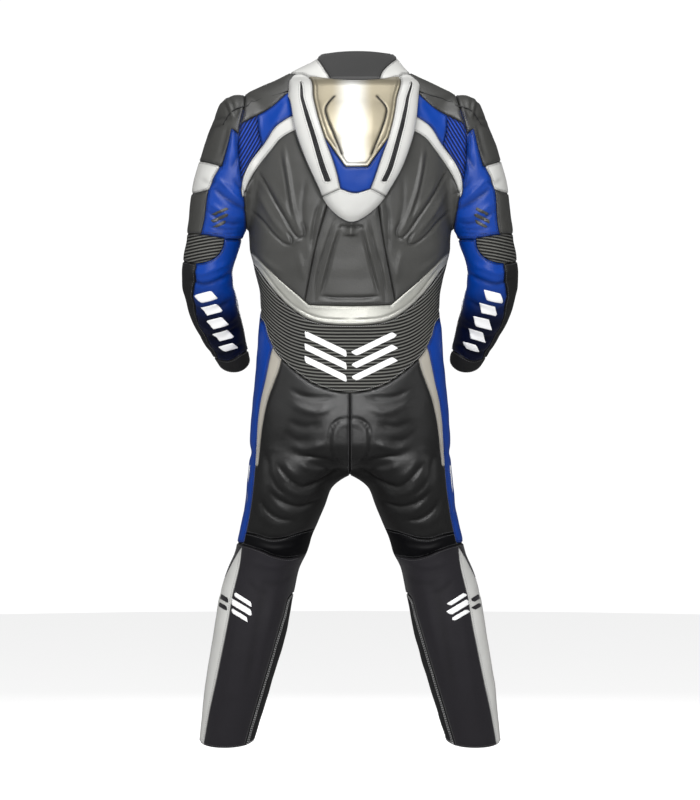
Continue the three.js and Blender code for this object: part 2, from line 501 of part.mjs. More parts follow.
// ---------- front zip's slider and pull tab ----------
skinRay.tris = trianglesOf(cut["zip_tape"]).map((t) => t.map(([x, y, z]) => [x, -y, z]));
const SLIDER = { z: 22, width: 11, height: 15, depth: 4 };
const TAB = { width: 9, length: 34, thick: 1.8 };
const frontAt = (z) => Math.max(skinRay(0, z), skinRay(-4.5, z), skinRay(4.5, z));
const faceY = Math.max(frontAt(SLIDER.z - SLIDER.height / 2), frontAt(SLIDER.z + SLIDER.height / 2), frontAt(SLIDER.z));
const seatY = -(faceY + 0.4); // the slider's back, just clear of the tape
const shapeOf = (pts) => new THREE.Shape(pts.map((p) => new THREE.Vector2(p[0], p[1])));
function extrudeAlongY(shape, depth, y) {
  const g = new THREE.ExtrudeGeometry(shape, { depth, bevelEnabled: false });
  g.rotateX(Math.PI / 2); // (x, z), going towards -Y
  g.translate(0, y, 0);
  return solidFrom(g);
}
const w = SLIDER.width / 2,
  h = SLIDER.height / 2;
let slider = extrudeAlongY(shapeOf([[-w, SLIDER.z - h + 3], [-w + 2.5, SLIDER.z - h], [w - 2.5, SLIDER.z - h], [w, SLIDER.z - h + 3], [w, SLIDER.z + h - 2], [w - 2, SLIDER.z + h], [-w + 2, SLIDER.z + h], [-w, SLIDER.z + h - 2]]), SLIDER.depth, seatY);
// Two ears carry the axle that the tab hangs on.
const ear = new THREE.BoxGeometry(1.8, 6.4, 6.4);
for (const side of [1, -1]) {
  const e = ear.clone();
  e.translate(side * 4.4, seatY - SLIDER.depth - 3.1, SLIDER.z + 3);
  slider = slider.add(solidFrom(e));
}
const hingeY = seatY - SLIDER.depth - 3.4,
  hingeZ = SLIDER.z + 3;
const axle = new THREE.CylinderGeometry(0.9, 0.9, 8.8, 12);
axle.rotateZ(Math.PI / 2);
axle.translate(0, hingeY, hingeZ);
slider = slider.add(solidFrom(axle));
addMesh("zip_slider", "metal", slider);
// The tab: a plate round the axle, hanging down in front of the slider.
const tabShape = shapeOf([[-2.9, hingeZ + 2.6], [-2.9, hingeZ - 4], [-TAB.width / 2, hingeZ - 8], [-TAB.width / 2, hingeZ - TAB.length + 3], [-TAB.width / 2 + 3, hingeZ - TAB.length], [TAB.width / 2 - 3, hingeZ - TAB.length], [TAB.width / 2, hingeZ - TAB.length + 3], [TAB.width / 2, hingeZ - 8], [2.9, hingeZ - 4], [2.9, hingeZ + 2.6]]);
const grip = new THREE.Path();
grip.absarc(0, hingeZ - TAB.length + 7, 2.2, 0, Math.PI * 2, true);
tabShape.holes.push(grip);
let tab = extrudeAlongY(tabShape, TAB.thick, hingeY + TAB.thick / 2);
const hub = new THREE.CylinderGeometry(2.5, 2.5, 5.8, 16);
hub.rotateZ(Math.PI / 2);
hub.translate(0, hingeY, hingeZ);
tab = tab.add(solidFrom(hub));
const bore = new THREE.CylinderGeometry(1.15, 1.15, 20, 12);
bore.rotateZ(Math.PI / 2);
bore.translate(0, hingeY, hingeZ);
tab = tab.subtract(solidFrom(bore));
addMesh("zip_pull", "metal", tab);
if (globalThis.SUIT_REPORT) console.log("hinge", place([0, hingeY, hingeZ]), "seat", seatY);

export default root;
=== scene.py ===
import math

import bpy
import numpy as np
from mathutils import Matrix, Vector, kdtree


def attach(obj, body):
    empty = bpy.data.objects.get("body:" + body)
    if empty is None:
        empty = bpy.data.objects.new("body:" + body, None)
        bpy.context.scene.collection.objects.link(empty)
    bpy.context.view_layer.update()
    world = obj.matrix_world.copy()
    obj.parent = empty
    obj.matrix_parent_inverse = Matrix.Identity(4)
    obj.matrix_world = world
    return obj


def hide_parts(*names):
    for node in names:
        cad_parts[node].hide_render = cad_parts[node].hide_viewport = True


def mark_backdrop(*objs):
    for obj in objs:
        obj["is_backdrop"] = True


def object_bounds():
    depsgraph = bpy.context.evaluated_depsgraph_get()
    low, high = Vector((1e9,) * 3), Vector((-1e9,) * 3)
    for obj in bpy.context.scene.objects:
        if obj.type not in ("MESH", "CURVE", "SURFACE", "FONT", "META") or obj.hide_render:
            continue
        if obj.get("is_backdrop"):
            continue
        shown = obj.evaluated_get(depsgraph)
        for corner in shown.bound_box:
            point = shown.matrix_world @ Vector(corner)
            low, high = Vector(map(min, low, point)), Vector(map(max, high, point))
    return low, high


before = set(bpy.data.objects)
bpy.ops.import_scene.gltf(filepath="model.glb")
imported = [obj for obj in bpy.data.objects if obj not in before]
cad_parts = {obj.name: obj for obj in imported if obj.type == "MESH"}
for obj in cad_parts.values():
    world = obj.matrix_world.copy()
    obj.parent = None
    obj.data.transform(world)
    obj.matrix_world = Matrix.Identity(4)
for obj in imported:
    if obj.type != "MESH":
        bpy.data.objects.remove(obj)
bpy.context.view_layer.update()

# A one-piece race suit in its worn form. The shape is worked out in millimetres as an elevation seen from behind
# (x to the wearer's left, z up, y backwards), then put in place by place(), as in the CAD model.
GRID = 8.5
VIEW_DISTANCE, VIEW_HEIGHT = 5000.0, -620.0
HEM_Z, HEM_DROP = -1298.0, 0.28
NECK_TOP = dict(z=78.0, y=44.0, tilt=0.2)
CUFF = dict(at=(232.0, -141.0, -547.0), normal=(0.27, 0.57, 0.77))
CLOTH = 1.7

# ---------- sections and outlines, as in the CAD model ----------
TORSO = (  # z, half, back, front, n
    (110, 56, 40, 76, 2.0),
    (78, 61, 44, 78, 2.0),
    (68, 72, 47, 78, 2.0),
    (52, 92, 50, 79, 2.0),
    (36, 115, 54, 80, 2.0),
    (20, 143, 60, 82, 2.0),
    (4, 178, 68, 84, 2.0),
    (-12, 208, 77, 87, 2.05),
    (-30, 217, 87, 93, 2.1),
    (-60, 215, 99, 102, 2.2),
    (-100, 209, 111, 112, 2.3),
    (-150, 205, 119, 121, 2.4),
    (-200, 202, 121, 127, 2.45),
    (-276, 200, 115, 126, 2.5),
    (-316, 199, 109, 122, 2.5),
    (-348, 192, 105, 118, 2.5),
    (-380, 184, 101, 115, 2.5),
    (-412, 178, 98, 112, 2.45),
    (-440, 177, 97, 111, 2.4),
    (-480, 181, 99, 111, 2.4),
    (-524, 184, 106, 112, 2.4),
    (-604, 192, 121, 112, 2.4),
    (-660, 196, 129, 109, 2.4),
    (-705, 198, 127, 104, 2.35),
    (-735, 190, 112, 92, 2.2),
    (-752, 150, 78, 62, 2.0),
    (-760, 60, 34, 26, 2.0),
)
SLEEVE = (  # z, outer, inner, mid, half
    (-13, 238, 206, 0, 18),
    (-20, 250, 184, 0, 34),
    (-28, 258, 170, 0, 46),
    (-44, 265, 160, 0, 57),
    (-60, 271, 155, 0, 63),
    (-92, 285, 155, 0, 69),
    (-124, 295, 160, 0, 70),
    (-156, 305, 166, 0, 69),
    (-188, 313, 174, 0, 67),
    (-220, 317, 184, 0, 65),
    (-252, 320, 196, -1, 63),
    (-284, 325, 212, -2, 61),
    (-300, 326, 217, -2, 60),
    (-332, 332, 228, -5, 60),
    (-364, 335, 235, -13, 62),
    (-392, 334, 234, -28, 65),
    (-412, 330, 227, -41, 65),
    (-444, 321, 221, -64, 63),
    (-476, 307, 214, -88, 59),
    (-508, 289, 207, -112, 54),
    (-540, 268, 201, -136, 47),
    (-572, 246, 196, -160, 41),
    (-600, 228, 190, -181, 36),
)
LEG = (  # z, outer, inner, mid, half
    (-670, 165, 30, 4, 80),
    (-700, 178, 24, 8, 90),
    (-740, 200, 12, 9, 103),
    (-764, 203, 20, 8, 102),
    (-796, 206, 39, 5, 98),
    (-828, 209, 51, 0, 93),
    (-860, 214, 64, -6, 88),
    (-892, 222, 78, -13, 83),
    (-924, 229, 88, -19, 79),
    (-956, 243, 103, -18, 77),
    (-988, 254, 110, -11, 76),
    (-1020, 262, 116, -3, 75),
    (-1068, 269, 125, 7, 74),
    (-1132, 279, 142, 13, 70),
    (-1196, 290, 161, 14, 65),
    (-1260, 296, 181, 11, 60),
    (-1330, 303, 203, 8, 55),
)
HUMP = (  # z, half, rise
    (25, 118, 3),
    (17, 126, 40),
    (6, 128, 52),
    (-26, 127, 58),
    (-74, 120, 60),
    (-114, 108, 57),
    (-157, 91, 51),
    (-200, 69, 42),
    (-226, 52, 35),
    (-248, 30, 26),
    (-264, 8, 8),
)
HUMP_PROFILE = (  # across, share
    (1, -0.5),
    (0.985, 0.2),
    (0.92, 0.72),
    (0.76, 0.86),
    (0.52, 0.95),
    (0.26, 0.99),
)
STRIPE = (  # z, across, wide
    (18, 110.5, 2.8),
    (0, 108, 5),
    (-20, 104.2, 6.4),
    (-60, 94, 8),
    (-100, 82.6, 9),
    (-130, 74.6, 9.8),
    (-160, 65, 11),
    (-183, 55, 12),
)
ARMHOLE = ((204, 40), (213, -24), (228, -90), (225, -155), (213, -225), (204, -300))
HUMP_EDGE = ((128, 16), (129, -4), (126, -26), (119, -74), (107, -114), (90, -157), (68, -200), (62, -212))
BAND_INNER = ((91, 27), (84, -14), (76, -54), (64, -96), (48, -140), (30, -198))
STRIPE_IN = tuple((r[1] - r[2] / 2, r[0]) for r in STRIPE)
STRIPE_OUT = tuple((r[1] + r[2] / 2, r[0]) for r in reversed(STRIPE))
PIECES = (  # node, in a pair, side, look, curves
    ("hump_plate", False, "back", "steel", (((91, 27), (45, 20), (0, 18), (-45, 20), (-91, 27)), ((-91, 27), (-84, -14), (-76, -54), (-64, -96)), ((-64, -96), (-23, -154)), ((-23, -154), (23, -154)), ((23, -154), (64, -96)), ((64, -96), (76, -54), (84, -14), (91, 27)))),
    ("hump_insert", False, "back", "blue", (((70, -75), (64, -96), (48, -140), (30, -198)), ((30, -198), (0, -206), (-30, -198)), ((-30, -198), (-48, -140), (-64, -96), (-70, -75)))),
    ("hump_lip", False, "back", "silver", (((62, -212), (51, -229), (28, -251), (0, -263), (-28, -251), (-51, -229), (-62, -212)), ((-62, -212), (-28, -196)), ((-28, -196), (28, -196)), ((28, -196), (62, -212)))),
    ("hump_stripe", True, "back", "black", (STRIPE_IN, STRIPE_OUT)),
    ("hump_band", True, "back", "silver", (HUMP_EDGE, ((62, -212), (26, -196)), ((26, -196), (26, -150)), ((26, -150), (60, 20)), ((60, 20), (91, 27), (101, 32), (116, 29), (128, 16)))),
    ("scapula_band", True, "back", "silver", (((110, -44), (125, -52), (155, -73), (178, -108), (205, -146), (219, -180), (219, -222)), ((219, -222), (206, -184), (187, -150), (165, -120), (145, -96), (122, -82), (104, -78)))),
    ("collar_back", False, "back", "neoprene", (((47, 8), (51, 26), (59, 40), (69, 52), (84, 66)), ((84, 66), (84, 110)), ((84, 110), (-84, 110)), ((-84, 110), (-84, 66)), ((-84, 66), (-69, 52), (-59, 40), (-51, 26), (-47, 8)))),
    ("zip_tape", False, "front", "zip", (((9, 120), (-9, 120)), ((-9, 120), (-9, -640)), ((-9, -640), (9, -640)), ((9, -640), (9, 120)))),
    ("collar_side", True, "both", "silver", (((0.15, 120), (0.15, 8)), ((0.15, 8), (60, 12), (104, 30), (150, 38)), ((150, 38), (150, 120)))),
    ("cuff", True, "both", "black", (((197, -517), (210, -523), (243, -541), (273, -534), (300, -520)), ((300, -520), (360, -640)), ((360, -640), (197, -640)))),
    ("arm_band", True, "both", "silver", (((360, -132), (300, -143), (265, -152)), ((265, -152), (279, -178), (286, -199)), ((286, -199), (316, -207), (360, -214)))),
    ("shoulder_cap", True, "both", "black", (((204, 40), (360, 40)), ((360, 40), (360, -150)), ((360, -150), (262, -153)), ((262, -153), (253, -120), (242, -76)), ((242, -76), (229, -88)), ((229, -88), (225, -66), (215, -30), (208, 6), (204, 40)))),
    ("arm_outer", True, "both", "black", (((286, -190), (291, -226), (293, -252), (299, -288)), ((299, -288), (360, -288)), ((360, -288), (360, -190)))),
    ("elbow_stretch", True, "both", "stretch", (((251, -297), (299, -289), (360, -284)), ((360, -284), (360, -334)), ((360, -334), (313, -347), (285, -343), (265, -332), (254, -316), (251, -297)))),
    ("forearm_outer", True, "both", "black", (((308, -330), (310, -379), (313, -402), (308, -449), (296, -479), (278, -511), (262, -540), (250, -570)), ((250, -570), (360, -570)), ((360, -570), (360, -330)))),
    ("forearm", True, "both", "blue", (((202, -299), (360, -299)), ((360, -299), (360, -640)), ((360, -640), (197.5, -640)), ((197.5, -640), (197.5, -480)), ((197.5, -480), (202, -345)))),
    ("sleeve_upper", True, "both", "blue", (ARMHOLE, ((204, -300), (360, -300)), ((360, -300), (360, 40)))),
    ("shoulder", True, "both", "black", (((104, 60), (104, 20)), ((104, 20), (130, -4), (166, -36), (208, -60), (236, -72)), ((236, -72), (236, 60)))),
    ("shoulder_stretch", True, "back", "bluestretch", (((190, -30), (188, -80), (180, -118)), ((180, -118), (215, -200)), ((215, -200), (240, -200)), ((240, -200), (240, -30)))),
    ("yoke", True, "back", "blue", (((100, 20), (240, -20)), ((240, -20), (215, -190)), ((215, -190), (185, -140), (150, -86), (100, -62)))),
    ("waist_band", False, "back", "foil", (((236, -292), (197, -325), (164, -358), (134, -386), (104, -411), (82, -430)), ((82, -430), (0, -432), (-82, -430)), ((-82, -430), (-104, -411), (-134, -386), (-164, -358), (-197, -325), (-236, -292)), ((-236, -312), (-190, -351), (-159, -393), (-128, -427), (-88, -456), (-56, -466), (0, -470), (56, -466), (88, -456), (128, -427), (159, -393), (190, -351), (236, -312)))),
    ("lumbar_stretch", False, "back", "stretch", (((236, -312), (190, -350), (100, -432), (0, -452), (-100, -432), (-190, -350), (-236, -312)), ((-236, -312), (-236, -458)), ((-236, -458), (-178, -458), (-163, -496), (-149, -524), (-131, -545), (-103, -568), (-76, -586), (-40, -600), (0, -606), (40, -600), (76, -586), (103, -568), (131, -545), (149, -524), (163, -496), (178, -458), (236, -458)))),
    ("back_centre", False, "back", "black", (((44, -190), (48, -215), (70, -318), (94, -440)), ((94, -440), (-94, -440)), ((-94, -440), (-70, -318), (-48, -215), (-44, -190)))),
    ("back_side", True, "back", "black", (((0.15, -40), (240, -40)), ((240, -40), (240, -460)), ((240, -460), (0.15, -460)))),
    ("side_panel", True, "both", "blue", (((240, -440), (150, -440)), ((150, -440), (150, -500)), ((150, -500), (158, -524), (162, -542), (170, -582), (178.5, -620), (184, -660), (187, -704), (189.5, -746), (193.5, -796), (202, -856), (213, -905)), ((213, -905), (300, -905)), ((300, -905), (300, -640)), ((300, -640), (240, -440)))),
    ("side_strip", True, "back", "silver", (((130, -480), (136, -530), (143, -560), (152, -584), (165, -620), (174, -660), (179.5, -700), (184.5, -752)), ((184.5, -752), (240, -760)), ((240, -760), (240, -480)))),
    ("seat", True, "back", "black", (((0.15, -440), (280, -440)), ((280, -440), (280, -872)), ((280, -872), (230, -881), (188, -890), (160, -899), (136, -897), (93, -883), (40, -872), (0.15, -872)))),
    ("knee_back", True, "back", "neoprene", (((0.15, -860), (280, -860)), ((280, -860), (280, -905)), ((280, -905), (225, -908), (179, -921), (154, -932), (124, -938), (95, -932), (40, -922), (0.15, -922)))),
    ("calf_strip", True, "both", "silver", (((217, -912), (222, -952), (229, -982), (237, -1016), (244, -1060), (255, -1115), (268, -1178), (283, -1248), (292, -1300), (300, -1345)), ((300, -1345), (380, -1345)), ((380, -1345), (380, -1020)), ((380, -1020), (264, -1016), (256, -990), (240, -955), (217, -912)))),
    ("calf_inner", True, "both", "black", (((60, -1000), (117, -1008), (135, -1056), (157, -1130), (179, -1204), (205, -1292), (220, -1345)), ((220, -1345), (60, -1345)))),
    ("calf", True, "back", "stretch", (((0.15, -900), (380, -900)), ((380, -900), (380, -1345)), ((380, -1345), (0.15, -1345)))),
    ("leg_front", True, "front", "black", (((0.15, -768), (60, -756), (130, -742), (240, -742), (380, -742)), ((380, -742), (380, -1345)), ((380, -1345), (0.15, -1345)))),
    ("front", True, "front", "black", (((0.15, 60), (260, 60)), ((260, 60), (260, -780)), ((260, -780), (0.15, -780)))),
)


# ---------- tables to smooth functions of height ----------
def dense(table):
    """Columns of a table sampled every millimetre of height, with a monotone cubic."""
    rows = sorted(table)
    z = np.array([r[0] for r in rows], float)
    zz = np.arange(z[0], z[-1] + 0.5, 1.0)
    cols = []
    for c in range(1, len(rows[0])):
        v = np.array([r[c] for r in rows], float)
        h = np.diff(z)
        s = np.diff(v) / h
        t = np.zeros(len(v))
        prod = s[:-1] * s[1:]
        ok = prod > 0
        t[1:-1][ok] = 2 * prod[ok] / (s[:-1] + s[1:])[ok]
        t[0], t[-1] = s[0], s[-1]
        i = np.clip(np.searchsorted(z, zz, side="right") - 1, 0, len(z) - 2)
        u = (zz - z[i]) / h[i]
        cols.append(
            (2 * u**3 - 3 * u**2 + 1) * v[i]
            + (u**3 - 2 * u**2 + u) * h[i] * t[i]
            + (-2 * u**3 + 3 * u**2) * v[i + 1]
            + (u**3 - u**2) * h[i] * t[i + 1]
        )
    return zz, cols


DENSE = {name: dense(t) for name, t in (("torso", TORSO), ("sleeve", SLEEVE), ("leg", LEG), ("hump", HUMP))}


def at(name, z):
    zz, cols = DENSE[name]
    return [np.interp(z, zz, c) for c in cols]


def step(a, b, v):
    t = np.clip((v - a) / (b - a), 0, 1)
    return t * t * (3 - 2 * t)


def smin(a, b, k):
    h = np.maximum(k - np.abs(a - b), 0) / k
    return np.minimum(a, b) - h * h * k * 0.25


def smax(a, b, k):
    return -smin(-a, -b, k)


def tube(dx, dy, a, b, n):
    """Roughly how far a point is outside a superellipse, along the ray from its middle."""
    dx = np.where(np.abs(dx) + np.abs(dy) < 0.01, 0.01, dx)
    rho = ((np.abs(dx) / a) ** n + (np.abs(dy) / b) ** n) ** (1 / n)
    return np.sqrt(dx * dx + dy * dy) * (1 - 1 / rho)


def back_at(x, z):
    half, back, _, n = at("torso", z)
    f = np.maximum(1 - np.minimum(np.abs(x) / half, 1) ** n, 0)
    return back * f ** (1 / n)


PROFILE_X = np.array([p[0] for p in HUMP_PROFILE][::-1] + [1.2])
PROFILE_S = np.array([p[1] for p in HUMP_PROFILE][::-1] + [0.72])


def shape(p):
    """The suit's outer skin is where this is zero; it is negative inside."""
    x, y, z = p[..., 0], p[..., 1], p[..., 2]
    ax = np.abs(x)
    half, back, front, n = at("torso", z)
    f = tube(x, y, half, np.where(y > 0, back, front), n)
    f = smax(f, -762 - z, 16)
    hw, rise = at("hump", np.clip(z, -264, 25))
    share = np.interp(ax / np.maximum(hw, 2), (0, 0.26, 0.52, 0.76, 0.92, 1.1), (1.0, 0.985, 0.94, 0.85, 0.74, 0.6))
    over = (y - back_at(x, z) - rise * share) * 0.85
    hump = smax(smax(over, (ax - hw) * np.where(z < -180, 0.8, 1.0), 16), z - 25, 14)
    hump = np.where((z > -290) & (y > 0), hump, 99.0)
    f = smin(f, hump, 7)
    outer, inner, mid, d = at("sleeve", z)
    s = tube(ax - (outer + inner) / 2, y - mid, (outer - inner) / 2, d, 2.1)
    s = smax(s, z + 12, 10)
    k = 20 * (1 - 0.65 * step(-40, 0, z))
    f = smin(f, np.where(z > -660, s, 99.0), k)
    outer, inner, mid, d = at("leg", z)
    g = tube(ax - (outer + inner) / 2, y - mid, (outer - inner) / 2, d, 2.15)
    g = smax(g, z + 690, 30)
    k = 8 + 46 * np.exp(-((ax / 85) ** 2))
    f = smin(f, np.where(z < -640, g, 99.0), k)
    return f


def gradient(p):
    e = 0.6
    g = np.empty_like(p)
    for i in range(3):
        q, r = p.copy(), p.copy()
        q[..., i] += e
        r[..., i] -= e
        g[..., i] = (shape(q) - shape(r)) / (2 * e)
    return g


def onto(p, times=3, limit=6.0):
    for _ in range(times):
        g = gradient(p)
        g2 = np.maximum((g * g).sum(-1, keepdims=True), 0.05)
        move = -shape(p)[..., None] * g / g2
        length = np.linalg.norm(move, axis=-1, keepdims=True)
        p = p + move * np.minimum(1, limit / np.maximum(length, 1e-6))
    return p


# ---------- the skin as quads ----------
def skin_mesh(h):
    nx = int(360 / h)
    xs = (np.arange(-nx, nx) + 0.5) * h
    ys = np.arange(-260, 215, h)
    zs = np.arange(-1345, 125, h)
    X, Y, Z = np.meshgrid(xs, ys, zs, indexing="ij")
    F = shape(np.stack((X, Y, Z), -1))
    neg = F < 0
    n0, n1, n2 = (s - 1 for s in F.shape)
    acc = np.zeros((n0, n1, n2, 3))
    cnt = np.zeros((n0, n1, n2))
    corner = np.stack(np.meshgrid(np.arange(n0), np.arange(n1), np.arange(n2), indexing="ij"), -1).astype(float)
    for axis in range(3):
        others = [a for a in range(3) if a != axis]
        for s in (0, 1):
            for t in (0, 1):
                off = [0, 0, 0]
                off[others[0]], off[others[1]] = s, t
                sl = tuple(slice(o, o + n) for o, n in zip(off, (n0, n1, n2)))
                off2 = list(off)
                off2[axis] = 1
                sl2 = tuple(slice(o, o + n) for o, n in zip(off2, (n0, n1, n2)))
                a, b = F[sl], F[sl2]
                cross = neg[sl] != neg[sl2]
                u = np.where(cross, a / np.where(cross, a - b, 1), 0)
                pt = np.zeros((n0, n1, n2, 3))
                pt[..., others[0]], pt[..., others[1]] = s, t
                pt[..., axis] = u
                acc += np.where(cross[..., None], pt, 0)
                cnt += cross
    has = cnt > 0
    ids = -np.ones(has.shape, int)
    ids[has] = np.arange(has.sum())
    pos = (corner + acc / np.maximum(cnt, 1)[..., None])[has]
    v = np.stack((xs[0] + pos[:, 0] * h, ys[0] + pos[:, 1] * h, zs[0] + pos[:, 2] * h), -1)
    quads = []
    for axis in range(3):
        b, c = [(1, 2), (2, 0), (0, 1)][axis]
        lo = [slice(0, s) for s in F.shape]
        hi = [slice(0, s) for s in F.shape]
        lo[axis], hi[axis] = slice(0, -1), slice(1, None)
        for a in (b, c):
            lo[a] = hi[a] = slice(1, -1)
        na, nb = neg[tuple(lo)], neg[tuple(hi)]
        cross = np.argwhere(na != nb)
        flip = na[na != nb]
        cell = cross.copy()
        for a in (b, c):
            cell[:, a] += 1
        q = []
        for db, dc in ((-1, -1), (0, -1), (0, 0), (-1, 0)):
            w = cell.copy()
            w[:, b] += db
            w[:, c] += dc
            q.append(ids[w[:, 0], w[:, 1], w[:, 2]])
        q = np.stack(q, -1)
        q[~flip] = q[~flip][:, ::-1]
        quads.append(q)
    q = np.concatenate(quads)
    return v, q[(q >= 0).all(1)]


def relax(v, q, times, keep):
    """Evens the quads out along the skin."""
    n = len(v)
    for _ in range(times):
        acc, cnt = np.zeros_like(v), np.zeros(n)
        for i in range(4):
            a, b = q[:, i], q[:, (i + 1) % 4]
            for s, t in ((a, b), (b, a)):
                acc += np.stack([np.bincount(s, v[t][:, k], n) for k in range(3)], -1)
                cnt += np.bincount(s, minlength=n)
        mean = acc / np.maximum(cnt, 1)[:, None]
        g = gradient(v)
        g /= np.linalg.norm(g, axis=1, keepdims=True) + 1e-9
        move = mean - v
        move -= (move * g).sum(1, keepdims=True) * g
        v = onto(v + move * keep, 1)
    return v


def split_quads(v, q):
    """Each quad becomes four."""
    e = np.sort(np.stack([q, np.roll(q, -1, 1)], -1), -1).reshape(-1, 2)
    ue, inv = np.unique(e, axis=0, return_inverse=True)
    mids = v[ue].mean(1)
    inv = inv.reshape(-1, 4) + len(v)
    centre = np.arange(len(q)) + len(v) + len(ue)
    v2 = np.concatenate([v, mids, v[q].mean(1)])
    q2 = np.concatenate([np.stack([q[:, i], inv[:, i], centre, inv[:, i - 1]], -1) for i in range(4)])
    return v2, q2


# ---------- outlines ----------
def through(points, per=7):
    """A smooth curve through the points."""
    p = np.array(points, float)
    if len(p) < 3:
        return p
    ext = np.vstack([2 * p[0] - p[1], p, 2 * p[-1] - p[-2]])
    out = []
    for i in range(1, len(ext) - 2):
        a, b, c, d = ext[i - 1 : i + 3]
        t0 = 0.0
        t1 = t0 + max(np.linalg.norm(b - a), 1e-6) ** 0.5
        t2 = t1 + max(np.linalg.norm(c - b), 1e-6) ** 0.5
        t3 = t2 + max(np.linalg.norm(d - c), 1e-6) ** 0.5
        t = np.linspace(t1, t2, per, endpoint=False)[:, None]
        a1 = (t1 - t) / (t1 - t0) * a + (t - t0) / (t1 - t0) * b
        a2 = (t2 - t) / (t2 - t1) * b + (t - t1) / (t2 - t1) * c
        a3 = (t3 - t) / (t3 - t2) * c + (t - t2) / (t3 - t2) * d
        b1 = (t2 - t) / (t2 - t0) * a1 + (t - t0) / (t2 - t0) * a2
        b2 = (t3 - t) / (t3 - t1) * a2 + (t - t1) / (t3 - t1) * a3
        out.append((t2 - t) / (t2 - t1) * b1 + (t - t1) / (t2 - t1) * b2)
    return np.vstack(out + [p[-1:]])


def outline(curves):
    pts = []
    for c in curves:
        for p in through(c):
            if not pts or np.hypot(*(p - pts[-1])) > 0.2:
                pts.append(p)
    while np.hypot(*(pts[0] - pts[-1])) < 0.2:
        pts.pop()
    return np.array(pts)


def segment_distance(p, a, b):
    """Distance of points (n, 2) to the segment a b, and the place along it."""
    d = b - a
    t = np.clip(((p - a) @ d) / max(d @ d, 1e-9), 0, 1)
    return np.hypot(*(p - a - t[:, None] * d).T), t


def inside_distance(p, poly):
    """Signed distance to a closed outline, negative inside; far points only get the sign."""
    lo, hi = poly.min(0) - 12, poly.max(0) + 12
    near = ((p > lo) & (p < hi)).all(1)
    out = np.full(len(p), 12.0)
    q = p[near]
    if not len(q):
        return out
    best = np.full(len(q), 1e9)
    inside = np.zeros(len(q), bool)
    for a, b in zip(poly, np.roll(poly, -1, 0)):
        d, _ = segment_distance(q, a, b)
        best = np.minimum(best, d)
        if a[1] != b[1]:
            cross = (a[1] > q[:, 1]) != (b[1] > q[:, 1])
            xi = (b[0] - a[0]) * (q[:, 1] - a[1]) / (b[1] - a[1]) + a[0]
            inside ^= cross & (q[:, 0] < xi)
    out[near] = np.where(inside, -best, best)
    return out


def line_distance(p, pts):
    """Distance to an open smooth line, and the place along it from 0 to 1."""
    c = through(pts, 4)
    seg = np.hypot(*(c[1:] - c[:-1]).T)
    total, run = seg.sum(), 0.0
    best, place_at = np.full(len(p), 1e9), np.zeros(len(p))
    for i in range(len(seg)):
        d, t = segment_distance(p, c[i], c[i + 1])
        s = (run + t * seg[i]) / total
        better = d < best
        best, place_at = np.where(better, d, best), np.where(better, s, place_at)
        run += seg[i]
    return best, place_at


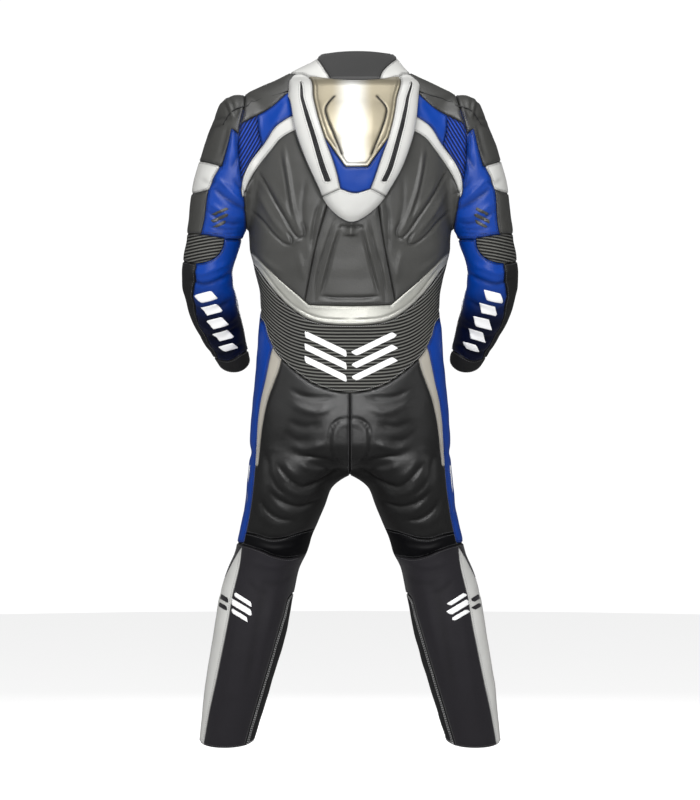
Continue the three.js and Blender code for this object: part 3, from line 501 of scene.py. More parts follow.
# ---------- cutting ----------
class Skin:
    """Triangles that are cut along fields; every cut adds its points once."""

    def __init__(self, v, t):
        self.v, self.t = v, t
        self.label = np.full(len(t), -1)

    def cut(self, field, live):
        """Splits the live triangles where field is zero. field holds a value for each point; returns the inside mask."""
        t = self.t
        f = field.copy()
        tri = t[live]
        e = np.concatenate([tri[:, [0, 1]], tri[:, [1, 2]], tri[:, [2, 0]]])
        e = np.unique(np.sort(e, 1), axis=0)
        fa, fb = f[e[:, 0]], f[e[:, 1]]
        cross = (fa < 0) != (fb < 0)
        e, fa, fb = e[cross], fa[cross], fb[cross]
        w = fa / (fa - fb)
        # points nearly on the line are moved onto it
        snap = {}
        for idx, ww, other in ((e[:, 0], w, e[:, 1]), (e[:, 1], 1 - w, e[:, 0])):
            close = ww < 0.22
            for i, o, s in zip(idx[close], other[close], ww[close]):
                if i not in snap or s < snap[i][1]:
                    snap[i] = (o, s)
        if snap:
            i = np.array(list(snap))
            o = np.array([snap[k][0] for k in snap])
            s = np.array([snap[k][1] for k in snap])
            fixed = np.isin(i, self.pinned) if len(self.pinned) else np.zeros(len(i), bool)
            mv = ~fixed
            self.v[i[mv]] += (self.v[o[mv]] - self.v[i[mv]]) * s[mv, None]
            f[i] = 0.0
        onl = f == 0.0
        fa, fb = f[e[:, 0]], f[e[:, 1]]
        cross = ((fa < 0) & (fb > 0)) | ((fa > 0) & (fb < 0))
        e, fa, fb = e[cross], fa[cross], fb[cross]
        w = fa / (fa - fb)
        base = len(self.v)
        self.v = np.vstack([self.v, self.v[e[:, 0]] * (1 - w[:, None]) + self.v[e[:, 1]] * w[:, None]])
        f = np.concatenate([f, np.zeros(len(e))])
        key = {(a, b): base + i for i, (a, b) in enumerate(map(tuple, e))}
        new_t, new_l, new_in = [], [], []
        sign = np.sign(f)
        s = sign[t]
        mixed = live & (s.min(1) < 0) & (s.max(1) > 0)
        keep_t, keep_l = t[~mixed], self.label[~mixed]
        keep_in = live[~mixed] & (sign[keep_t].min(1) < 0)
        all_zero = live[~mixed] & (sign[keep_t] == 0).all(1)
        keep_in |= all_zero & (f[keep_t].sum(1) < 0)
        for tri, lab in zip(t[mixed], self.label[mixed]):
            ring = []
            for k in range(3):
                a, b = int(tri[k]), int(tri[(k + 1) % 3])
                ring.append(a)
                m = key.get((min(a, b), max(a, b)))
                if m is not None and sign[a] * sign[b] < 0:
                    ring.append(m)
            neg = [i for i in ring if sign[i] <= 0]
            pos = [i for i in ring if sign[i] >= 0]
            for part, inn in ((neg, True), (pos, False)):
                for k in range(1, len(part) - 1):
                    new_t.append((part[0], part[k], part[k + 1]))
                    new_l.append(lab)
                    new_in.append(inn)
        if new_t:
            self.t = np.vstack([keep_t, np.array(new_t)])
            self.label = np.concatenate([keep_l, np.array(new_l)])
            inside = np.concatenate([keep_in, np.array(new_in)])
        else:
            self.t, self.label, inside = keep_t, keep_l, keep_in
        self.pinned = np.union1d(self.pinned, np.where(f == 0)[0])
        return inside

    pinned = np.zeros(0, int)


def side_depth(z):
    """Depth of the side seam that parts the back from the front."""
    _, _, mid, _ = at("leg", z)
    return np.where(z > -750, 4.0, mid)


def place(p):
    x, y, z = p[:, 0], p[:, 1], p[:, 2]
    k = (VIEW_DISTANCE - y) / VIEW_DISTANCE
    back = 9 * np.clip(y / 110, 0, 1.5) * step(-330, -150, z) + 6 * step(-20, 20, z) * np.clip(y / 60, 0, 1)
    neck = step(34, 66, z)
    return np.stack(((x - back * (1 - neck) - 14.5 * neck) * k, y, VIEW_HEIGHT + (z - VIEW_HEIGHT) * k), -1)


# ---------- the skin, cut into its pieces ----------
v, q = skin_mesh(GRID)
v = onto(v, 3)
v = relax(v, q, 3, 0.5)
v, q = split_quads(v, q)
v = onto(v, 2)
v = relax(v, q, 2, 0.5)
d02 = np.linalg.norm(v[q[:, 0]] - v[q[:, 2]], axis=1)
d13 = np.linalg.norm(v[q[:, 1]] - v[q[:, 3]], axis=1)
first = (d02 < d13)[:, None]
tris = np.concatenate([np.where(first, q[:, [0, 1, 2]], q[:, [0, 1, 3]]), np.where(first, q[:, [0, 2, 3]], q[:, [1, 2, 3]])])
skin = Skin(v, tris)


def plane_field(p, at_point, normal):
    n = np.array(normal) / np.linalg.norm(normal)
    return (p - np.array(at_point)) @ n


def discard(inside):
    skin.t, skin.label = skin.t[~inside], skin.label[~inside]


# the openings: neck, hems and cuffs
f = plane_field(skin.v, (0, NECK_TOP["y"], NECK_TOP["z"]), (0, NECK_TOP["tilt"], -1))
discard(skin.cut(f, skin.v[skin.t][:, :, 2].min(1) > 20))
f = plane_field(skin.v, (0, 0, HEM_Z), (0, HEM_DROP, 1))
discard(skin.cut(f, skin.v[skin.t][:, :, 2].max(1) < -1200))
for side in (1, -1):
    c, n = CUFF["at"], CUFF["normal"]
    f = plane_field(skin.v, (side * c[0], c[1], c[2]), (side * n[0], n[1], n[2]))
    tv = skin.v[skin.t]
    near = (tv[:, :, 2].max(1) < -430) & (tv[:, :, 2].min(1) > -700) & (side * tv[:, :, 0].min(1) > 0 if side > 0 else tv[:, :, 0].max(1) < 0)
    near &= (tv[:, :, 1].max(1) < -60) & (np.abs(tv[:, :, 0]).min(1) > 180)
    discard(skin.cut(f, near))
skin.pinned = np.zeros(0, int)

NAMES, LOOK_OF = [], {}
for node, pair, where, look, curves in PIECES:
    pts = outline(curves)
    for side in (1, -1) if pair else (1,):
        name = node + (("_L" if side > 0 else "_R") if pair else "")
        here = pts * (side, 1)
        lo, hi = here.min(0) - 14, here.max(0) + 14
        free = skin.label < 0
        tv = skin.v[skin.t]
        box_ok = (tv[:, :, 0].max(1) > lo[0]) & (tv[:, :, 0].min(1) < hi[0]) & (tv[:, :, 2].max(1) > lo[1]) & (tv[:, :, 2].min(1) < hi[1])
        live = free & box_ok
        if where == "back":
            live &= tv[:, :, 1].max(1) > side_depth(tv[:, :, 2]).min(1) - 12
        if where == "front":
            live &= tv[:, :, 1].min(1) < side_depth(tv[:, :, 2]).max(1) + 12
        used = np.unique(skin.t[live])
        f = np.full(len(skin.v), 12.0)
        f[used] = inside_distance(skin.v[used][:, [0, 2]], here)
        if where == "back":
            f[used] = np.maximum(f[used], side_depth(skin.v[used][:, 2]) - skin.v[used][:, 1])
        if where == "front":
            f[used] = np.maximum(f[used], skin.v[used][:, 1] - side_depth(skin.v[used][:, 2]))
        inside = skin.cut(f, live)
        skin.label[inside] = len(NAMES)
        NAMES.append(name)
        LOOK_OF[name] = look
left = skin.label < 0
if left.any():
    c = skin.v[skin.t[left]].mean(1)
    names = np.where(c[:, 1] > side_depth(c[:, 2]), "seat", "leg_front")
    skin.label[left] = [NAMES.index(n + ("_L" if x > 0 else "_R")) for n, x in zip(names, c[:, 0])]


# ---------- folds --------------------------
# Each is a smooth line seen from behind on the wearer's left, as (x, z) in millimetres, with its height (a ridge is
# positive) and half width; the second height is for its twin on the right, which differs a little.
def px(*points):
    """From the drawing's half-scale grid to millimetres."""
    return tuple(((349.75 - a) * 2, (90 - b) * 2) for a, b in points)


def up(*points):
    """As px(), for the upper back, which is turned a little towards the wearer's right."""
    return tuple((x + 8.0 * float(step(-330, -150, z)), z) for x, z in px(*points))


FOLDS = (  # side, line, height left, height right, half width
    # the pads pressed into the upper back
    ("back", up((253, 211), (262, 220), (275, 236), (286, 244), (291, 244), (291.5, 239), (287, 231)), -3.2, -3.2, 3.2),
    ("back", up((258, 188), (269, 212), (278, 226), (286, 238)), 2.6, 2.4, 6.0),
    ("back", up((260, 171), (265, 182), (274, 200), (284, 217), (292, 231), (298, 237.5), (303, 237), (305, 231), (302, 220)), -3.4, -3.4, 3.2),
    ("back", up((270, 180), (279, 198), (288, 214), (297, 230)), 2.0, 2.0, 6.0),
    ("back", up((284, 146), (286, 162), (290, 190), (294, 212), (299, 230)), 3.4, 3.2, 4.6),
    ("back", up((280, 150), (284, 172), (288, 198), (293, 220)), -1.8, -1.8, 4.0),
    ("back", up((305, 178), (302, 205), (303, 230), (299, 238)), -1.4, -1.2, 5.0),
    ("back", up((320, 200), (315, 218), (313, 234), (311, 250)), -2.6, -2.2, 4.6),
    ("back", up((324, 205), (320, 220), (317, 236), (314, 262)), 2.4, 2.2, 5.0),
    ("back", up((289, 246), (297, 241), (304, 234)), 1.6, 1.6, 3.6),
    ("back", up((257, 254), (272, 266), (284, 274)), 1.6, 1.4, 6.0),
    ("back", up((297, 250), (301, 266), (304, 282)), 1.6, 1.8, 7.0),
    # the strip between the two rows beside the middle, and the raised pad
    ("back", up((335, 217), (326, 245), (317, 276), (314, 305)), -2.2, -2.2, 2.6),
    ("back", up((341, 228), (336, 240), (329, 266), (321.5, 294)), -2.8, -2.8, 2.8),
    ("back", up((337, 226), (332, 243), (325, 267), (317.5, 298)), 2.2, 2.2, 2.6),
    ("back", up((352.75, 226.5), (345, 226.5), (338, 227)), -2.4, -2.4, 2.8),
    ("back", up((352.75, 297.5), (335, 297.5), (320.5, 296)), -3.6, -3.6, 3.4),
    ("back", up((352.75, 302), (335, 302), (318, 301)), 1.6, 1.6, 3.0),
    ("back", up((352.75, 233), (347, 233), (342, 233)), 1.0, 1.0, 4.5),
    # waist band
    ("back", px((257, 261), (272, 282), (283, 295.5), (296, 307), (317, 317.5), (349.75, 320)), -1.6, -1.6, 2.2),
    # yoke and sleeve head
    ("back", px((284, 98), (277, 112), (268, 128)), 2.2, 1.8, 8.0),
    ("both", px((222, 99), (226, 109), (229, 121)), -3.0, -3.2, 3.6),
    ("both", px((229, 97), (231, 108), (231.5, 120)), -2.8, -2.4, 3.2),
    ("both", px((238, 98), (236, 108), (233, 120)), -2.6, -3.0, 3.6),
    ("both", px((226, 100), (229, 110), (230.5, 119)), 2.4, 2.0, 3.6),
    ("both", px((214, 121), (221, 118), (228, 121)), -2.4, -2.2, 3.6),
    ("both", px((205, 142), (212, 128), (223, 124)), -2.6, -2.6, 4.5),
    ("both", px((229, 126), (228, 145), (224, 166)), 3.2, 3.4, 5.0),
    ("both", px((234, 127), (235, 144), (239, 160)), -3.4, -3.2, 4.0),
    ("both", px((226, 124), (222, 140), (217, 158)), -3.0, -3.6, 4.0),
    ("both", px((238, 148), (233, 160), (229, 170)), -2.4, -2.8, 4.0),
    ("both", px((213, 177), (222, 185), (232, 195), (243, 204)), 3.6, 3.2, 4.5),
    ("both", px((210, 186), (221, 196), (233, 204), (247, 211)), -4.2, -4.0, 4.5),
    ("both", px((249, 196), (240, 190), (230, 178)), -2.8, -2.6, 4.0),
    ("both", px((205, 200), (218, 210), (232, 216), (245, 217)), 3.0, 3.0, 4.5),
    ("both", px((204, 209), (216, 218), (232, 224), (243, 222)), -3.6, -3.2, 4.0),
    ("both", px((206, 226), (222, 229.5), (241, 228)), -2.0, -2.0, 2.2),
    ("both", px((206, 231), (222, 234), (240, 232.5)), -2.0, -2.0, 2.2),
    ("both", px((199, 178), (207, 183), (216, 181)), -1.8, -2.2, 5.0),
    # forearm
    ("both", px((187, 268), (200, 273), (216, 268), (231, 262)), 3.4, 3.0, 5.5),
    ("both", px((186, 278), (203, 284), (220, 279), (234, 271)), -4.0, -4.2, 5.0),
    ("both", px((187, 291), (202, 299), (219, 293)), 3.2, 2.8, 6.0),
    ("both", px((189, 303), (206, 311), (236, 297)), -3.6, -3.2, 5.5),
    ("both", px((196, 322), (213, 328), (240, 312)), 2.8, 2.4, 6.0),
    ("both", px((199, 333), (216, 338), (241, 325)), -3.6, -3.2, 5.5),
    ("both", px((208, 349), (224, 353), (245, 342)), -3.2, -3.6, 5.0),
    ("both", px((236, 262), (238, 290), (241, 320)), -2.4, -2.0, 6.0),
    # seat: the middle seam and its oval patch
    ("back", px((349.75, 419), (339, 420), (331.5, 427), (329.5, 436), (330, 449), (336, 460), (345, 464.5), (349.75, 465)), -2.8, -2.8, 2.4),
    ("back", px((349.75, 424), (341, 425), (335, 431), (334, 441), (335, 452), (341, 459)), 1.0, 1.0, 4.0),
    # and the creases across the seat and the backs of the thighs
    ("back", px((285, 399), (298, 407), (315, 412), (334, 407)), 3.0, 2.7, 7.5),
    ("back", px((289, 389), (303, 396), (320, 398), (336, 396)), -3.2, -3.5, 5.5),
    ("back", px((288, 421), (303, 427), (322, 424)), -2.4, -2.2, 7.0),
    ("back", px((289, 444), (303, 449), (325, 444)), 3.0, 3.2, 7.0),
    ("back", px((284, 430), (296, 440), (312, 440)), -1.7, -1.9, 6.0),
    ("back", px((297, 455), (313, 457), (330, 460), (343, 467)), -4.6, -4.3, 4.5),
    ("back", px((299, 463), (312, 470), (332, 467)), 2.6, 2.8, 6.5),
    ("back", px((298, 488), (312, 484), (326, 477), (340, 468)), -4.8, -4.5, 5.0),
    ("back", px((276, 462), (284, 473), (294, 483), (306, 488)), -3.0, -3.3, 4.5),
    ("back", px((281, 459), (290, 470), (299, 478)), 1.3, 1.2, 4.5),
    ("back", px((282, 483), (292, 492), (306, 495), (320, 489)), 2.2, 2.0, 5.0),
    ("back", px((268, 489), (281, 501), (299, 506), (321, 499)), -4.2, -3.9, 4.8),
    ("back", px((270, 474), (276, 486), (286, 495)), -2.3, -2.0, 4.5),
    ("back", px((276, 505), (290, 513), (307, 512)), 1.8, 1.9, 5.0),
    ("back", px((260, 499), (268, 511), (281, 519), (297, 520)), -3.2, -3.5, 4.8),
    ("back", px((259, 511), (268, 522), (283, 527)), 1.3, 1.2, 5.5),
    ("back", px((262, 446), (268, 464), (269, 484)), -1.9, -1.6, 6.0),
    # knee
    ("back", px((249, 529), (264, 536), (284, 538), (304, 533)), -2.6, -2.6, 3.0),
    ("back", px((252, 543), (272, 549), (300, 545)), 3.4, 3.6, 5.5),
    ("back", px((262, 550), (281, 557), (301, 555)), -5.6, -5.0, 4.5),
    ("back", px((250, 562), (272, 567), (297, 563)), 2.8, 2.4, 5.0),
    # calf
    ("back", px((266, 572), (258, 620), (244, 700)), -2.2, -1.8, 10.0),
    ("back", px((280, 574), (269, 620), (255, 690)), 2.4, 2.0, 10.0),
    ("back", px((242, 590), (232, 650), (224, 722)), 1.8, 2.2, 9.0),
    ("back", px((292, 574), (278, 584), (262, 582)), -2.6, -2.2, 6.0),
    ("back", px((246, 578), (256, 590), (270, 594)), -1.8, -2.4, 6.0),
    # the front, plain
    ("front", px((340, 440), (310, 452), (280, 446)), -4.0, -3.4, 9.0),
    ("front", px((336, 462), (308, 474), (278, 468)), -4.4, -4.8, 8.0),
    ("front", px((335, 330), (305, 338), (270, 330)), -2.6, -3.2, 10.0),
    ("front", px((336, 372), (305, 382), (268, 372)), -3.2, -2.6, 10.0),
    ("front", px((262, 180), (280, 200), (300, 208)), -3.0, -3.6, 10.0),
    ("front", px((240, 548), (265, 558), (292, 550)), -4.0, -3.4, 8.0),
    ("front", px((226, 600), (250, 610), (276, 600)), -3.0, -3.6, 9.0),
    ("inside", px((186, 262), (210, 268), (234, 258)), -3.6, -4.0, 7.0),
    ("inside", px((188, 240), (210, 246), (238, 238)), -3.4, -3.0, 7.0),
    ("inside", px((190, 285), (210, 292), (238, 280)), -2.8, -3.2, 8.0),
)
WAVES = []
rng = np.random.default_rng(7)
for length in (150, 115, 92, 75, 61, 50, 41):
    direction = rng.normal(size=3)
    direction /= np.linalg.norm(direction)
    WAVES.append((direction * 2 * math.pi / length, rng.uniform(0, 6.28), 0.0042 * length))


def waves(p):
    """Small uneven undulation, about a millimetre."""
    out = np.zeros(len(p))
    bend = 9 * np.sin(p[:, [2, 0, 1]] / 47.0)
    for k, phase, size in WAVES:
        out += size * np.sin((p + bend) @ k + phase)
    return out


def arm_depth(z):
    """The middle depth of the sleeve at each height."""
    return np.where(z > -600, at("sleeve", z)[2] - 12, -400.0)


def folds(p):
    """Height of the folds, and how much each darkens the cloth with painted shade (up to 1) or lightens it with painted
    highlight (down to -0.5).
    """
    out, tone = np.zeros(len(p)), np.zeros(len(p))
    sd = side_depth(p[:, 2])
    arm = arm_depth(p[:, 2])
    for where, line, left_h, right_h, width in FOLDS:
        pts = np.array(line, float)
        lo, hi = pts.min(0) - 3 * width, pts.max(0) + 3 * width
        centre = abs(pts[0, 0]) < 1.0
        for side, height in ((1, left_h), (-1, right_h)):
            xz = np.stack((p[:, 0] * side, p[:, 2]), -1)
            near = ((xz > lo) & (xz < hi)).all(1)
            if where == "back":
                near &= p[:, 1] > sd - 10
            elif where == "front":
                near &= p[:, 1] < sd + 10
            elif where == "inside":
                near &= p[:, 1] < arm + 12
            else:
                near &= p[:, 1] > arm
            if centre:
                near &= xz[:, 0] > 0
            if not near.any():
                continue
            d, t = line_distance(xz[near], pts)
            ramp = 9.0 if len(line) > 5 else 4.0
            fade = np.minimum(1, 5 * (1 - t)) if centre else np.minimum(1, ramp * np.minimum(t, 1 - t) + 0.1)
            fade = np.clip(fade, 0, 1)
            out[near] += height * np.exp(-((d / width) ** 2)) * fade
            if where in ("back", "both"):
                soft = np.exp(-((d / (0.8 * width)) ** 2)) * fade
                # painted shade along each crease and painted highlight along each ridge
                tone[near] += soft * (min(0.62, 0.16 - 0.11 * height) if height < 0 else -0.07 * height)
    return out, np.clip(tone, -0.5, 0.9)


# how each look is built: puff over the seams, depth of the seam's groove, share of waves and folds, thickness
BUILD = {
    "black": (1.5, 1.5, 0.8, 1.0, 1.7),
    "blue": (1.5, 1.5, 1.0, 1.0, 1.7),
    "silver": (0.9, 1.0, 0.5, 0.8, 1.7),
    "foil": (1.2, 1.1, 0.5, 1.0, 1.8),
    "steel": (3.2, 1.4, 0.0, 0.0, 2.4),
    "neoprene": (1.6, 1.4, 0.5, 1.0, 3.2),
    "stretch": (1.0, 1.4, 0.6, 0.8, 1.8),
    "bluestretch": (1.6, 1.6, 0.4, 1.0, 1.8),
    "zip": (0.6, 1.2, 0.2, 0.4, 1.4),
}
FINE = {"hump_stripe", "back_centre", "back_side", "hump_plate", "hump_band", "hump_lip", "hump_insert", "waist_band", "collar_back", "scapula_band", "yoke"}
RIBBED = {"lumbar_stretch", "shoulder_stretch", "elbow_stretch"}


def rib_phase(node, p):
    """Counts ribs across a ribbed stretch panel."""
    ax, z = np.abs(p[:, 0]), p[:, 2]
    if node == "lumbar_stretch":
        return (z - 6.6 * (ax / 100) ** 4) / 6.7
    if node == "shoulder_stretch":
        return (ax * 0.857 + z * 0.515) / 6.2
    return (z - 0.16 * (250 - ax) + 0.0012 * (ax - 280) ** 2) / 6.4


class Panel:
    pass


def quarter(p, t):
    """Cuts every triangle into four, with the new points on the skin."""
    e = np.sort(np.concatenate([t[:, [0, 1]], t[:, [1, 2]], t[:, [2, 0]]]), 1)
    pairs, inv = np.unique(e, axis=0, return_inverse=True)
    inv = inv.ravel()
    k, m = len(p), len(t)
    ab, bc, ca = inv[:m] + k, inv[m : 2 * m] + k, inv[2 * m :] + k
    mid = onto((p[pairs[:, 0]] + p[pairs[:, 1]]) / 2, 1)
    return np.vstack([p, mid]), np.vstack([
        np.stack([t[:, 0], ab, ca], -1), np.stack([ab, t[:, 1], bc], -1), np.stack([ca, bc, t[:, 2]], -1), np.stack([ab, bc, ca], -1),
    ])


PANELS = {}
for i, name in enumerate(NAMES):
    t = skin.t[skin.label == i]
    area2 = np.linalg.norm(np.cross(skin.v[t[:, 1]] - skin.v[t[:, 0]], skin.v[t[:, 2]] - skin.v[t[:, 0]]), axis=1)
    t = t[area2 > 1e-5]
    used, inv = np.unique(t, return_inverse=True)
    pan = Panel()
    pan.name, pan.node = name, name[:-2] if name.endswith(("_L", "_R")) else name
    pan.look = LOOK_OF[name]
    pan.p, pan.t = skin.v[used], inv.reshape(-1, 3)
    # the largest connected part only
    n = len(pan.p)
    comp = np.arange(n)
    while True:
        low = comp[pan.t].min(1)
        new = comp.copy()
        for k in range(3):
            np.minimum.at(new, pan.t[:, k], low)
        new = new[new]
        if (new == comp).all():
            break
        comp = new
    ids, count = np.unique(comp[pan.t[:, 0]], return_counts=True)
    if len(ids) > 1:
        keep = comp[pan.t[:, 0]] == ids[count.argmax()]
        used, inv = np.unique(pan.t[keep], return_inverse=True)
        pan.p, pan.t = pan.p[used], inv.reshape(-1, 3)
    if pan.node in FINE:
        pan.p, pan.t = quarter(pan.p, pan.t)
    e = np.concatenate([pan.t[:, [0, 1]], pan.t[:, [1, 2]], pan.t[:, [2, 0]]])
    key = np.sort(e, 1)
    _, first_at, cnt = np.unique(key, axis=0, return_index=True, return_counts=True)
    pan.rim = e[first_at[cnt == 1]]
    g = gradient(pan.p)
    pan.n = g / (np.linalg.norm(g, axis=1, keepdims=True) + 1e-9)
    rim_pts = np.unique(pan.rim)
    tree = kdtree.KDTree(len(pan.rim) * 2)
    a, b = pan.p[pan.rim[:, 0]], pan.p[pan.rim[:, 1]]
    rim_at = np.concatenate([a, (a + b) / 2])
    if pan.node == "hump_band":
        # the inlaid stripe lies flush, so its edge isn't an edge of the band
        side = 1 if name.endswith("_L") else -1
        rim_at = rim_at[np.abs(inside_distance(rim_at[:, [0, 2]], outline([STRIPE_IN, STRIPE_OUT]) * (side, 1))) > 1.2]
        rim_pts = rim_pts[np.abs(inside_distance(pan.p[rim_pts][:, [0, 2]], outline([STRIPE_IN, STRIPE_OUT]) * (side, 1))) > 1.2]
    for k, pt in enumerate(rim_at):
        tree.insert(pt, k)
    tree.balance()
    pan.tree = tree
    pan.edge = np.array([tree.find(pt)[2] for pt in pan.p])
    pan.edge[rim_pts] = 0.0
    if pan.node == "hump_stripe":
        pan.edge[:] = 30.0
    PANELS[name] = pan

PLATE_LINES = (((43.0, -14), (58.5, -32), (61.0, -44), (30.0, -128)),)


def edge_distance(pan, p):
    return np.array([pan.tree.find(pt)[2] for pt in p])


def lift(pan, p, d):
    """How far the finished surface stands off the smooth skin, and its painted shading as in folds(): painted shade
    along the seams and creases, painted highlight on the ridges.
    """
    puff, groove, wavy, folded, _ = BUILD[pan.look]
    if pan.node == "hump_plate":
        move = 2.8 * step(0, 2.4, d) - 1.2 * np.exp(-((d / 2.0) ** 2)) - 0.9 * np.exp(-(((d - 7) / 1.8) ** 2))
        # painted shade along the plate's rim and in its bevel groove 7 mm in
        tone = np.maximum(np.exp(-d / 1.6), 0.35 * np.exp(-(((d - 7) / 1.6) ** 2)))
        for line in PLATE_LINES:
            dist, _ = line_distance(np.stack((np.abs(p[:, 0]), p[:, 2]), -1), np.array(line))
            move -= 1.4 * np.exp(-((dist / 2.4) ** 2))
            # painted shade in the inset lines
            tone = np.maximum(tone, 1.15 * np.exp(-((dist / 2.3) ** 2)))
        return move, tone
    soft = 2.0 if pan.look in ("silver", "foil") else 3.6
    if pan.node.startswith("hump_"):
        soft, puff, groove = 1.3, 2.2, 0.8
    move = puff * (1 - np.exp(-d / soft)) - groove * np.exp(-((d / 2.0) ** 2))
    move += waves(p) * wavy * np.clip(d / 10, 0.25, 1)
    high, tone = folds(p)
    move += high * folded
    if pan.node == "collar_back":
        move += 1.5
    # painted shade along the seams, darkest at the piece's edge
    rim = np.exp(-d / 1.7)
    # on the seat's middle seam the groove and the painted seam shade are weaker
    if pan.node == "seat":
        middle = 1 - 0.6 * step(14, 4, np.abs(p[:, 0]))
        move += groove * np.exp(-((d / 2.0) ** 2)) * (1 - middle)
        rim = rim * middle
    return move, np.maximum(rim, tone)


for pan in PANELS.values():
    pan.thick = BUILD[pan.look][4]
    move, pan.tone = lift(pan, pan.p, pan.edge)
    pan.out = pan.p + pan.n * move[:, None]
    pan.inn = pan.out - pan.n * pan.thick


# ---------- looks ----------
def rgb(r, g, b):
    """sRGB from 0 to 255 to linear."""
    return tuple(c / 12.92 if c <= 0.04045 else ((c + 0.055) / 1.055) ** 2.4 for c in (r / 255, g / 255, b / 255)) + (1.0,)


def material(name, colour, rough, metal=0.0, grain=900.0, grain_depth=0.0, spread=0.06, rib=0.0, painted_rib_shade=0.4, fade=None, coat=0.0, sheen=0.0, spec=0.5, dark=0.5, painted_highlight=None):
    """Leather, cloth or metal. Ribs are counted by the point attribute rib; the attribute edge paints shade along the
    seams and creases and highlight on the ridges.
    """
    m = bpy.data.materials.new(name)
    m.use_nodes = True
    nt = m.node_tree
    nodes, links = nt.nodes, nt.links
    nodes.clear()

    def new(kind, **inputs):
        n = nodes.new(kind)
        for k, val in inputs.items():
            n.inputs[k].default_value = val
        return n

    def maths(op, a, b=None, c=None):
        n = nodes.new("ShaderNodeMath")
        n.operation = op
        for i, val in enumerate((a, b, c)):
            if val is None:
                continue
            if isinstance(val, (int, float)):
                n.inputs[i].default_value = val
            else:
                links.new(val, n.inputs[i])
        return n.outputs[0]

    out = nodes.new("ShaderNodeOutputMaterial")
    bsdf = nodes.new("ShaderNodeBsdfPrincipled")
    links.new(bsdf.outputs[0], out.inputs[0])
    bsdf.inputs["Metallic"].default_value = metal
    bsdf.inputs["Specular IOR Level"].default_value = spec
    bsdf.inputs["Coat Weight"].default_value = coat
    bsdf.inputs["Coat Roughness"].default_value = 0.3
    bsdf.inputs["Sheen Weight"].default_value = sheen
    bsdf.inputs["Sheen Roughness"].default_value = 0.5
    coords = nodes.new("ShaderNodeTexCoord")
    cloud = new("ShaderNodeTexNoise", Scale=14.0, Detail=4.0, Roughness=0.6)
    links.new(coords.outputs["Object"], cloud.inputs["Vector"])
    tone = maths("MULTIPLY_ADD", maths("SUBTRACT", cloud.outputs["Fac"], 0.5), spread * 4, 1.0)
    # painted shade from the attribute edge, by up to dark; where it is negative, painted highlight
    edge = nodes.new("ShaderNodeAttribute")
    edge.attribute_name = "edge"
    tone = maths("MULTIPLY", tone, maths("MULTIPLY_ADD", edge.outputs["Fac"], -dark, 1.0))
    height = None
    if rib:
        a = nodes.new("ShaderNodeAttribute")
        a.attribute_name = "rib"
        wave = maths("ABSOLUTE", maths("SINE", maths("MULTIPLY", a.outputs["Fac"], math.pi)))
        height = maths("MULTIPLY", maths("POWER", wave, 1.3), rib)
        # painted shade in the grooves between the ribs, so that the crests read lighter
        tone = maths("MULTIPLY", tone, maths("MULTIPLY_ADD", maths("POWER", wave, 3.5), painted_rib_shade, 1.0 - painted_rib_shade))
    if grain_depth:
        vor = new("ShaderNodeTexVoronoi", Scale=grain)
        links.new(coords.outputs["Object"], vor.inputs["Vector"])
        g = maths("MULTIPLY", vor.outputs["Distance"], grain_depth)
        height = g if height is None else maths("ADD", height, g)
        soft = new("ShaderNodeTexNoise", Scale=grain * 0.22, Detail=3.0)
        links.new(coords.outputs["Object"], soft.inputs["Vector"])
        height = maths("ADD", height, maths("MULTIPLY", soft.outputs["Fac"], grain_depth * 1.6))
    colour_node = nodes.new("ShaderNodeMix")
    colour_node.data_type = "RGBA"
    colour_node.blend_type = "MULTIPLY"
    colour_node.inputs[0].default_value = 1.0
    if fade is None:
        colour_node.inputs[6].default_value = colour
    else:
        # a slow change of colour down the piece: fade is (z where it starts, z where it ends, the colour there)
        split = nodes.new("ShaderNodeSeparateXYZ")
        links.new(coords.outputs["Object"], split.inputs[0])
        ramp = nodes.new("ShaderNodeMapRange")
        ramp.interpolation_type = "SMOOTHSTEP"
        ramp.inputs["From Min"].default_value = fade[0]
        ramp.inputs["From Max"].default_value = fade[1]
        links.new(split.outputs[2], ramp.inputs["Value"])
        two = nodes.new("ShaderNodeMix")
        two.data_type = "RGBA"
        two.inputs[6].default_value = colour
        two.inputs[7].default_value = fade[2]
        links.new(ramp.outputs[0], two.inputs[0])
        links.new(two.outputs[2], colour_node.inputs[6])
    if painted_highlight is not None:
        # a painted highlight, a lighter stripe down the middle standing for the lamp's reflection in the plate: it is
        # given as (its x, its half width, its colour)
        split = nodes.new("ShaderNodeSeparateXYZ")
        links.new(coords.outputs["Object"], split.inputs[0])
        off = maths("ABSOLUTE", maths("SUBTRACT", split.outputs[0], painted_highlight[0]))
        ramp = nodes.new("ShaderNodeMapRange")
        ramp.interpolation_type = "SMOOTHSTEP"
        ramp.inputs["From Min"].default_value = painted_highlight[1] * 2
        ramp.inputs["From Max"].default_value = 0.0
        links.new(off, ramp.inputs["Value"])
        two = nodes.new("ShaderNodeMix")
        two.data_type = "RGBA"
        two.inputs[6].default_value = colour
        two.inputs[7].default_value = painted_highlight[2]
        links.new(ramp.outputs[0], two.inputs[0])
        links.new(two.outputs[2], colour_node.inputs[6])
    grey = nodes.new("ShaderNodeCombineColor")
    for i in range(3):
        links.new(tone, grey.inputs[i])
    links.new(grey.outputs[0], colour_node.inputs[7])
    links.new(colour_node.outputs[2], bsdf.inputs["Base Color"])
    links.new(maths("MULTIPLY_ADD", maths("SUBTRACT", cloud.outputs["Fac"], 0.5), 0.25, rough), bsdf.inputs["Roughness"])
    if height is not None:
        bump = nodes.new("ShaderNodeBump")
        bump.inputs["Strength"].default_value = 1.0
        bump.inputs["Distance"].default_value = 1.0
        links.new(height, bump.inputs["Height"])
        links.new(bump.outputs[0], bsdf.inputs["Normal"])
    return m


